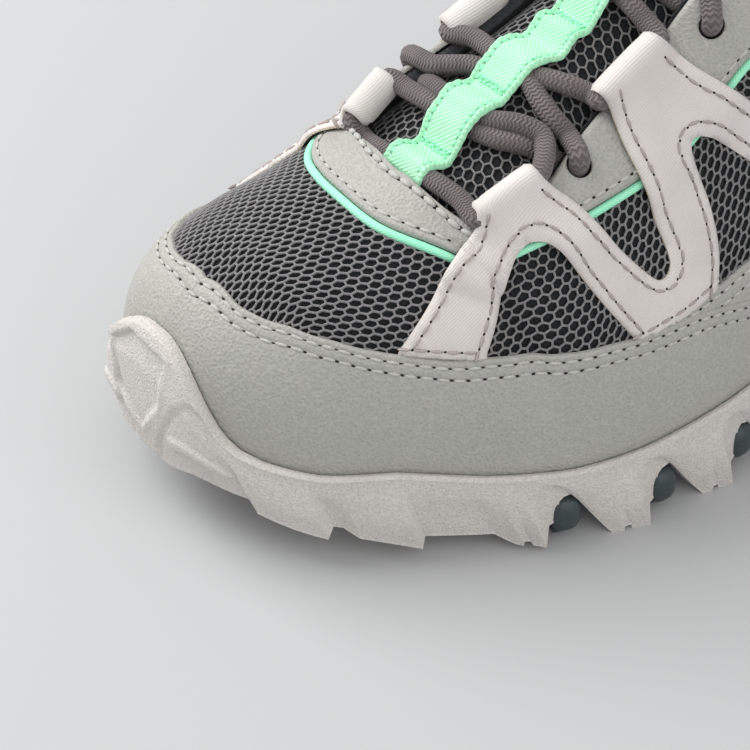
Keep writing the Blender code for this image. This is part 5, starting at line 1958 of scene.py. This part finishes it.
    def columns(self, pitch: float) -> Points:
        """Columns right round the sole, filled in between so that they stand no further apart than pitch in mm.

        Args:
            pitch: widest gap between columns.

        Returns:
            Columns in order.
        """
        toe = (0.0, 0.0, self.keel(-1.0)[0], self.toe_flare)
        heel = (-float(HEEL), -float(HEEL), self.keel(254.0)[0], self.flare_rear)
        ring = [toe] + self.side_columns(OUTER, self.outer_lugs) + [heel]
        far = [(r - 2 * HEEL, f - 2 * HEEL, z, w) for r, f, z, w in self.side_columns(INNER, self.inner_lugs)[::-1]]
        ring = np.array(ring + far + [(-2.0 * HEEL, -2.0 * HEEL, toe[2], toe[3])])
        fine = []
        for a, b in zip(ring[:-1], ring[1:]):
            spots = self.last.base(np.array((a[1], b[1])) + HEEL)
            step = pitch * (0.45 if spots[:, 0].min() < 16.0 else 1.0)
            cuts = max(1, math.ceil(np.linalg.norm(spots[1] - spots[0]) / step))
            fine += [a + (b - a) * i / cuts for i in range(cuts)]
        return np.array(fine)

    def midsole(self) -> None:
        """Cup that holds the upper, with raked rim lugs and a tall toe bumper."""
        cols = self.columns(1.1)
        rim, foot, low, flare = cols.T
        rim = (rim + HEEL) % (2 * HEEL) - HEEL
        foot = (foot + HEEL) % (2 * HEEL) - HEEL
        high = look_up(RIM, 1, np.abs(rim))
        thick = look_up(RIM, 2, np.abs(rim))
        up = self.last.up_at(rim, high)
        out = self.last.out(rim)
        base = self.last.base(rim + HEEL)
        sole = self.last.base(foot + HEEL)
        away = self.last.out(foot)
        flat = np.array((1.0, 1.0, 0.0))
        level = np.array((0.0, 0.0, 1.0))
        rings = [base + out * RIM_GAP - level * GAP]
        for part in (0.3, 0.65, 0.9, 1.0):
            rings.append(self.last.place(rim, up * part, np.full(len(rim), RIM_GAP)))
        crest = rings[-1] + out * thick[:, None] - level * 0.3
        rings.append(rings[-1] + out * thick[:, None] * 0.5 + level * 0.25)
        rings.append(crest)
        over = ((crest - base) * out).sum(1)
        bumper = np.clip(1.5 - np.abs(rim), 0, 1)
        for part in np.linspace(0.045, 0.975, 54):
            mid = base + (sole - base) * part
            side = unit(out + (away - out) * part)
            swell = np.interp(part, (0.0, 0.3, 0.7, 1.0), (0.0, 1.4, 1.0, 0.0))
            offset = over + (self.flare_mean - over) * part + swell * (0.35 + bumper)
            offset = offset + (flare - self.flare_mean) * ease((part - 0.1) / 0.6) + self.toe_relief(rim, part)
            z = crest[:, 2] + (low - crest[:, 2]) * part
            spot = mid * flat + side * offset[:, None] + level * z[:, None]
            spot = spot + side * (self.panel_relief(spot) * (np.abs(rim) < 1.6))[:, None]
            rings.append(spot)
        roof = self.keel(sole[:, 0])[1]
        depth = self.lug_depth
        for offset, z in ((flare, low), (0 * flare - depth, np.minimum(low, roof)), (0 * flare - depth - 1.2, roof)):
            rings.append(sole * flat + away * offset[:, None] + level * z[:, None])
        rings = np.array(rings)
        cup = BENCH.outward(BENCH.mesh("midsole", rings, tube(*rings.shape[:2]), (RUBBER,)))
        BENCH.bevel(cup, 0.4, 36.0, 2)
        cup.data.shade_smooth()
        cup.data.set_sharp_from_angle(angle=math.radians(38))
        BENCH.hand_over(cup, "pale_rubber", "midsole")

    def toe_relief(self, rim: Points, part: float) -> Points:
        """Raised toe plate with a curved edge and the lozenge beside it.

        Args:
            rim: station of each column.
            part: part of the way down the wall.

        Returns:
            Height of the relief in mm.
        """
        far = np.abs(rim)
        line = 0.95 - 0.70 * np.clip((part - 0.05) / 0.85, 0, 1) ** 0.8
        plate_edge = ease((line - far) / 0.1 + 0.5)
        groove = bell((far - line - 0.03) / 0.045)
        along = np.clip((far - 0.62) / 0.42, 0, 1)
        gap = np.hypot((far - 0.62 - 0.42 * along) * 16.0, (part - 0.73 + 0.12 * along) * 26.0)
        return 0.4 * plate_edge - 0.3 * groove + 0.7 * ease((2.4 - gap) / 1.5) - 0.2

    def gap_lugs(self) -> None:
        """Rounded dark lugs that stand in the arches between the pale ones."""
        turn = np.linspace(0, math.tau, 20, endpoint=False)
        rise = np.linspace(-1, 1, 11) * math.pi / 2
        back, within, below = self.gap_place
        points, faces = [], []
        for side, lugs in ((OUTER, self.outer_lugs), (INNER, self.inner_lugs)):
            for one, after in zip(lugs[:-1], lugs[1:]):
                if one[5] < 6:
                    continue
                s = (one[2] + after[0]) / 2 + back
                st = side * self.last.station(side, np.array([s]))
                foot = self.last.base(st + HEEL)[0]
                away = self.last.out(st)[0]
                along = np.array((-away[1], away[0], 0.0))
                top = self.keel(s)[0] + one[5]
                centre = foot * (1, 1, 0) + away * (self.flare_gap - within) + np.array((0, 0, top - below))
                start = len(points)
                for a in rise:
                    for b in turn:
                        n = np.array((math.cos(a) * math.cos(b), math.cos(a) * math.sin(b), math.sin(a)))
                        n = np.sign(n) * np.abs(n) ** self.gap_square * self.gap_half
                        points.append(centre + along * n[0] + away * n[1] + np.array((0, 0, n[2])))
                faces += grid_ring(len(rise), len(turn), start)
        lugs = BENCH.outward(BENCH.mesh("tread_lugs", np.array(points), faces, (DARK_RUBBER,)))
        BENCH.hand_over(lugs, "dark_rubber")

    def panel_relief(self, spot: Points) -> Points:
        """Six-sided panel sunk in the toe, with a raised lip round it.

        Args:
            spot: positions on the wall.

        Returns:
            Height of the relief in mm.
        """
        outline = np.array(self.panel)
        after = np.roll(outline, -1, 0)
        away = unit(np.stack([after[:, 1] - outline[:, 1], outline[:, 0] - after[:, 0]], -1))
        gap = ((spot[:, None, 1:] - outline) * away).sum(-1).max(1)
        lip = bell((gap - 1.1) / 1.1)
        return self.panel_lip * lip - self.panel_depth * ease(0.5 - gap / 1.1)


@dataclass
class Tongue:
    """Padded tongue with its net, and the mint tape tacked down it."""

    tack: Seam
    edging: Seam
    tape_front: float = 58.0
    tape_rear: float = 147.0
    tape_w: float = 12.8
    tape_t: float = 1.3
    tape_y: float = -0.8
    tack_lift: float = 0.45
    drape: float = 0.1
    tack_rise: float = 1.0
    tacks: tuple = (66.8, 80.8, 101.5, 121.0)
    # Least height over a lace: how far it is pressed in, and the fall to its sides
    press: float = 0.5
    fall: float = 0.3
    # Room between a lace's middle and the tape
    round_r: float = LACE_R + 0.4

    def build(self) -> None:
        """Make the tongue, its net and the tape."""
        self.flap()
        self.net()
        self.tape()

    def edges(self, s: Points) -> tuple[Points, Points]:
        """Outer and inner edge of the tongue, with its overhang."""
        over = look_up(TONGUE, 6, s)
        return look_up(TONGUE, 2, s) - over, look_up(TONGUE, 4, s) + over

    def flap(self) -> None:
        """Padded flap under the throat edges."""
        s = np.linspace(49, 153, 90)
        low, high = self.edges(s)
        across = np.linspace(0, 1, 44)
        y = low[:, None] + (high - low)[:, None] * across
        ss = np.repeat(s[:, None], 44, 1)
        z = tongue_top(ss, y)
        rim = np.minimum(np.minimum(across, 1 - across)[None] * (high - low)[:, None], 153.0 - ss)
        round_off = 1 - rounded(rim / 2.2)
        top = np.stack([ss, y, z - 1.6 * round_off], -1)
        under = np.stack([ss, y, z - TONGUE_T + 1.7 * round_off], -1)
        pts, faces, kinds = plate(under, top)
        flap = BENCH.outward(BENCH.mesh("tongue", pts, faces, (NET_BACK, NET_BACK), kinds, sharp=70))
        BENCH.hand_over(flap, "net_textile", "tongue")

    def net(self) -> None:
        """Honeycomb of yarn over the tongue's upper face."""
        rows = np.arange(-13, 14)
        step = 1.12
        k = np.arange(int(98 / step))
        i, k = np.meshgrid(rows, k, indexing="ij")
        peak = (i + k) % 2 == 0
        y = i * 2.2 - np.where(peak, 1.47, 0.73)
        s = 52.0 + k * step
        z = tongue_top(s, y)
        low, high = self.edges(s)
        hit = (y > low + 2.0) & (y < high - 2.0)
        rise = np.stack([tongue_top(s - 1, y) - tongue_top(s + 1, y), tongue_top(s, y - 1) - tongue_top(s, y + 1)], -1)
        normal = unit(np.concatenate([rise, np.full(rise.shape[:2] + (1,), 2.0)], -1))
        spot = np.stack([s, y, z], -1) + normal * 0.4
        number = np.full(hit.shape, -1)
        number[hit] = np.arange(hit.sum())
        net = BENCH.wires("tongue_net", spot[hit], honeycomb(number, peak), normal[hit])
        TREES.grow(net, TREES.yarn, NET, Radius=0.26 * MM, Sides=6)
        BENCH.hand_over(net, "net_textile")

    def tape_height(self, s: Points) -> Points:
        """Height of the tape's under face.

        Args:
            s: distances from the toe.

        Returns:
            Height at each.
        """
        z = tongue_top(s, 0 * s) + self.tack_lift
        bare = z
        for row in STRANDS:
            knots = strand_path(row)
            part = np.linspace(0, len(knots) - 1, 40)
            for x, y, middle in read_along(part, np.arange(len(knots)), knots):
                if abs(y - self.tape_y) < self.tape_w / 2 + 1.0:
                    top = middle + self.round_r
                    z = np.maximum(z, top - self.drape * np.maximum(np.abs(s - x) - 1.0, 0) ** 2)
                    bare = np.maximum(bare, top - self.press - self.fall * (s - x) ** 2)
        for at in self.tacks:
            held = self.tack_lift + self.tack_rise * np.maximum(np.abs(s - at) - 0.5, 0)
            z = np.minimum(z, tongue_top(s, 0 * s) + held)
        z = np.maximum(z, bare)
        first = strand_path(BAR_1)[2:4].mean(0)
        ahead = np.maximum(first[0] - s, 0)
        wrap = first[2] + np.sqrt(np.maximum(self.round_r**2 - ahead**2, 0))
        wrap = wrap - 6.0 * np.maximum(ahead - self.round_r, 0)
        return np.where(ahead > 0, np.minimum(z, wrap), z)

    def tape(self) -> None:
        """Woven tape with thick edges, pinched at its tacks."""
        s = np.linspace(self.tape_front, self.tape_rear, 260)
        z = self.tape_height(s)
        kernel = bell(np.linspace(-2, 2, 17))
        z = np.convolve(np.pad(z, 8, "edge"), kernel / kernel.sum(), "valid")
        pinch = np.zeros(len(s))
        for at in self.tacks:
            pinch = np.maximum(pinch, bell((s - at) / 2.4))
        across = np.linspace(-1, 1, 41)
        run = run_of(np.column_stack([s, 0 * s, z]))
        scallop = 0.012 * np.sin(run * math.tau / 2.3) + 0.012 * np.sin(run * math.tau / 7.7 + 1.0)
        half = self.tape_w / 2 * (1.0 - 0.045 * pinch)[:, None]
        skew = 0.05 * across * self.tape_w
        y = self.tape_y - half * across * (1.0 + scallop[:, None] * np.abs(across) ** 6)
        edge = bell((np.abs(across) - 0.88) / 0.08)
        groove = bell((np.abs(across) - 0.72) / 0.06)
        ripple = 0.1 * np.sin(run * math.tau / 2.3)[:, None] * edge
        cup = 0.18 * np.sin(run * math.tau / 9.0 + 0.7)[:, None] * np.abs(across) ** 3 * np.sign(across)
        relief = 0.35 * edge - 0.3 * groove + ripple - 0.45 * pinch[:, None] * (1 - edge)
        round_off = 1 - rounded((1 - np.abs(across)) * 6.0)
        zz = np.repeat(z[:, None], len(across), 1) + cup
        ss = s[:, None] + skew
        low = np.stack([ss, y, zz + 0.3 * round_off], -1)
        high = np.stack([ss, y, zz + self.tape_t - 0.55 * round_off + relief], -1)
        pts, faces, kinds = plate(low, high)
        uv = np.stack([np.repeat(run[:, None], len(across), 1), y], -1).reshape(-1, 2)
        tape = BENCH.mesh("webbing", pts, faces, (MINT,), 0 * kinds, np.concatenate([uv, uv]), sharp=70)
        BENCH.hand_over(BENCH.outward(tape), "mint_tape", "webbing")
        face = unit(np.cross(np.gradient(high, axis=0), np.gradient(high, axis=1)))
        face = face * np.sign(face[..., 2:])
        for column in (5, 6, len(across) - 7, len(across) - 6):
            self.edging.add(high[3:-3, column], face[3:-3, column])
        for at in self.tacks[:3]:
            column = np.arange(7, len(across) - 7)
            row = np.searchsorted(s, at) + np.where(column % 4 < 2, 1, -1)
            self.tack.add(high[row, column], face[row, column])


@dataclass
class Laces:
    """One round braided lace, run through loops and eyelets."""

    last: Last
    sides: int = 16
    strands: int = 8

    def build(self) -> None:
        """Make the four runs of the lace."""
        near, far = OUTER, INNER
        first = np.concatenate([
            [self.hole(near, 0, -4.0)], strand_path(CROSS_2_UNDER), self.loop(far, 0)[::-1],
            strand_path(BAR_1)[::-1], self.loop(near, 0), strand_path(CROSS_2_OVER), [self.hole(far, 0, -4.0)],
        ])
        second = np.concatenate([
            [self.hole(near, 0, -4.0), self.hole(near, 0, 1.0), self.hole(near, 0, 4.0) + (0.2, 1.4, 0.4)],
            strand_path(CROSS_3_OVER), self.loop(far, 1), strand_path(CROSS_4_UNDER)[::-1],
            [self.hole(near, 1, -4.0)],
        ])
        third = np.concatenate([
            [self.hole(far, 0, -4.0), self.hole(far, 0, 1.2), self.hole(far, 0, 4.2) + (0.2, -1.6, 0.3)],
            strand_path(CROSS_3_UNDER)[::-1], self.loop(near, 1), strand_path(CROSS_4_OVER),
            [self.hole(far, 1, -4.0)],
        ])
        bar = np.array([(128.5, y, float(tongue_top(128.5, y)) + 6.5) for y in (-9.0, -4.5, 0.0, 4.5, 9.0)])
        fourth = np.concatenate([
            [self.hole(near, 1, -4.0), self.hole(near, 1, 1.2), self.hole(near, 1, 4.4) + (0.5, 1.6, 0.5)], bar,
            [self.hole(far, 1, 4.4) + (0.5, -1.6, 0.5), self.hole(far, 1, 1.2), self.hole(far, 1, -4.0)],
        ])
        paths = (
            (first, ("lace_row_1", "lace_row_2")), (second, ("lace_row_3",)), (third, ("lace_row_4",)),
            (fourth, ()),
        )
        for i, (path, nodes) in enumerate(paths):
            self.run(f"lace_{i + 1}", path, nodes)

    def hole(self, side: int, index: int, lift: float) -> Points:
        """Point on an eyelet's axis."""
        st, up = EYELETS[index]
        return self.last.place(np.array(side * st), np.array(up), np.array(lift))

    def loop(self, side: int, index: int) -> Points:
        """Middle line of a strap loop, from its front end."""
        loop = LOOPS[side][index]
        return loop_axis(self.last, side, loop, np.linspace(loop[0], loop[1], 4))[0]

    def run(self, name: str, knots: Points, nodes: tuple) -> None:
        """Round cord along a path, with a cloth map for its braid.

        Args:
            name: name of the piece.
            knots: points on its middle line.
            nodes: CAD nodes that it stands for.
        """
        pace = np.concatenate([[0], np.cumsum(np.sqrt(np.linalg.norm(np.diff(knots, axis=0), axis=1)))])
        fine = np.linspace(0, pace[-1], 60 * len(knots))
        path = self.smooth(knots, pace, fine)
        run = run_of(path)
        even = np.linspace(0, run[-1], max(40, int(run[-1] / 0.8)))
        path = read_along(even, run, path)
        along = unit(np.gradient(path, axis=0))
        level = [unit(np.cross(along[0], (0.0, 0.0, 1.0)))]
        for one in along[1:]:
            level.append(unit(level[-1] - one * (level[-1] @ one)))
        level = np.array(level)
        rise = np.cross(level, along)
        n = self.sides
        turn = np.linspace(0, math.tau, n, endpoint=False)
        ring = path[:, None] + LACE_R * (level[:, None] * np.cos(turn)[:, None] + rise[:, None] * np.sin(turn)[:, None])
        wrap = np.arange(n + 1) * self.strands * math.tau / CORD.scale / n
        uv = []
        for u0, u1 in zip(even[:-1], even[1:]):
            for v0, v1 in zip(wrap[:-1], wrap[1:]):
                uv += [(u0, v0), (u0, v1), (u1, v1), (u1, v0)]
        uv += [(0.0, 0.0)] * (2 * n)
        lace = BENCH.mesh(name, ring.reshape(-1, 3), tube(len(path), n), (CORD,), None, np.array(uv))
        BENCH.hand_over(BENCH.outward(lace), "taupe_cord", *nodes)

    def smooth(self, knots: Points, pace: Points, at: Points) -> Points:
        """Rounded path through knots at uneven paces.

        Args:
            knots: points on the path.
            pace: pace of each knot.
            at: paces wanted.

        Returns:
            Points of the path.
        """
        m = np.zeros_like(knots)
        slope = np.diff(knots, axis=0) / np.diff(pace)[:, None]
        m[1:-1] = (slope[1:] * np.diff(pace)[:-1, None] + slope[:-1] * np.diff(pace)[1:, None])
        m[1:-1] /= (pace[2:] - pace[:-2])[:, None]
        m[0], m[-1] = slope[0], slope[-1]
        i = np.clip(np.searchsorted(pace, at, "right") - 1, 0, len(knots) - 2)
        h = np.diff(pace)[i][:, None]
        t = ((at - pace[i]) / h[:, 0])[:, None]
        a = (1 + 2 * t) * (1 - t) ** 2 * knots[i] + t * t * (3 - 2 * t) * knots[i + 1]
        return a + h * t * (1 - t) * ((1 - t) * m[i] - t * m[i + 1])


@dataclass
class Studio:
    """Floor, soft light and the camera at the photograph's angle."""

    camera_at: tuple = (-0.35751, -0.436655, 0.4440)
    look_at: tuple = (-0.08241, -0.012955, 0.0350)
    lens: float = 143.5
    # Lamps: name, place, size, power
    lamps: tuple = (
        ("key", (-0.5, 0.65, 0.95), 0.9, 12.0), ("fill", (0.0, -1.2, 0.9), 1.5, 8.0),
        ("back", (-0.5, 1.2, 0.8), 0.6, 6.0),
    )
    surround: float = 0.62
    paper: Colour = (0.475, 0.48, 0.485)

    def build(self) -> None:
        """Set the stage round the shoe."""
        self.floor()
        self.lights()
        camera = bpy.data.cameras.new("camera")
        camera.lens = self.lens
        camera.sensor_width = 36.0
        camera.clip_start = 0.01
        bpy.context.scene.camera = stand("camera", camera)
        self.aim(bpy.context.scene.camera, self.camera_at)
        bpy.context.scene.view_settings.view_transform = "Standard"

    def floor(self) -> None:
        """Pale sweep under the shoe."""
        mesh = bpy.data.meshes.new("floor")
        mesh.from_pydata([(-4, -4, 0), (4, -4, 0), (4, 4, 0), (-4, 4, 0)], [], [(0, 1, 2, 3)])
        mat = bpy.data.materials.new("floor_paper")
        mat.use_nodes = True
        shader = mat.node_tree.nodes["Principled BSDF"]
        shader.inputs["Base Color"].default_value = (*self.paper, 1.0)
        shader.inputs["Roughness"].default_value = 0.85
        mesh.materials.append(mat)
        stand("floor", mesh)

    def lights(self) -> None:
        """Even surround and three large soft lamps."""
        world = bpy.data.worlds.new("studio")
        world.use_nodes = True
        sky = world.node_tree.nodes["Background"].inputs
        sky["Color"].default_value = (1.0, 1.0, 1.0, 1.0)
        sky["Strength"].default_value = self.surround
        bpy.context.scene.world = world
        for name, at, size, power in self.lamps:
            lamp = bpy.data.lights.new(name, "AREA")
            lamp.size = size
            lamp.energy = power
            self.aim(stand(name, lamp), at)

    def aim(self, obj: Object, at: tuple) -> None:
        """Place a camera or lamp and turn it to the shoe."""
        obj.location = at
        obj.rotation_euler = (Vector(self.look_at) - Vector(at)).to_track_quat("-Z", "Y").to_euler()


def main() -> None:
    """Build the stage and the shoe's pieces in order."""
    logging.basicConfig(level=logging.INFO, format="%(message)s")
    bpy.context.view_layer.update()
    Studio().build()
    last = Last()
    cloths = {side: Cloth(last, side) for side in (OUTER, INNER)}
    shape = StrapShape()
    leather = Seam("leather_seam", "grey_leather", THREAD)
    rope = Seam("throat_seam", "grey_leather", THREAD, 3.5, 3.7, 1.5, 1.3, 1.6)
    edging = Seam("strap_seam", "ribbed_strap", STRAP_THREAD, 3.4, 3.0, 0.8, 0.9, 0.75)
    tack = Seam("tape_tack", "mint_tape", MINT_TACK, 0.9, 1.2, 0.6, 0.6, 0.3)
    selvage = Seam("tape_seam", "mint_tape", MINT_TACK, 1.9, 1.5, 0.45, 0.4, 0.3)
    Laces(last).build()
    Upper(last, cloths, shape).build()
    Sole(last).build()
    LeatherBands(last, leather).build()
    Eyestay(last, leather, rope).build()
    Straps(last, shape, edging).build()
    Tongue(tack, selvage).build()
    for seam in (leather, rope, edging, tack, selvage):
        seam.sew()


if __name__ == "__main__":
    main()
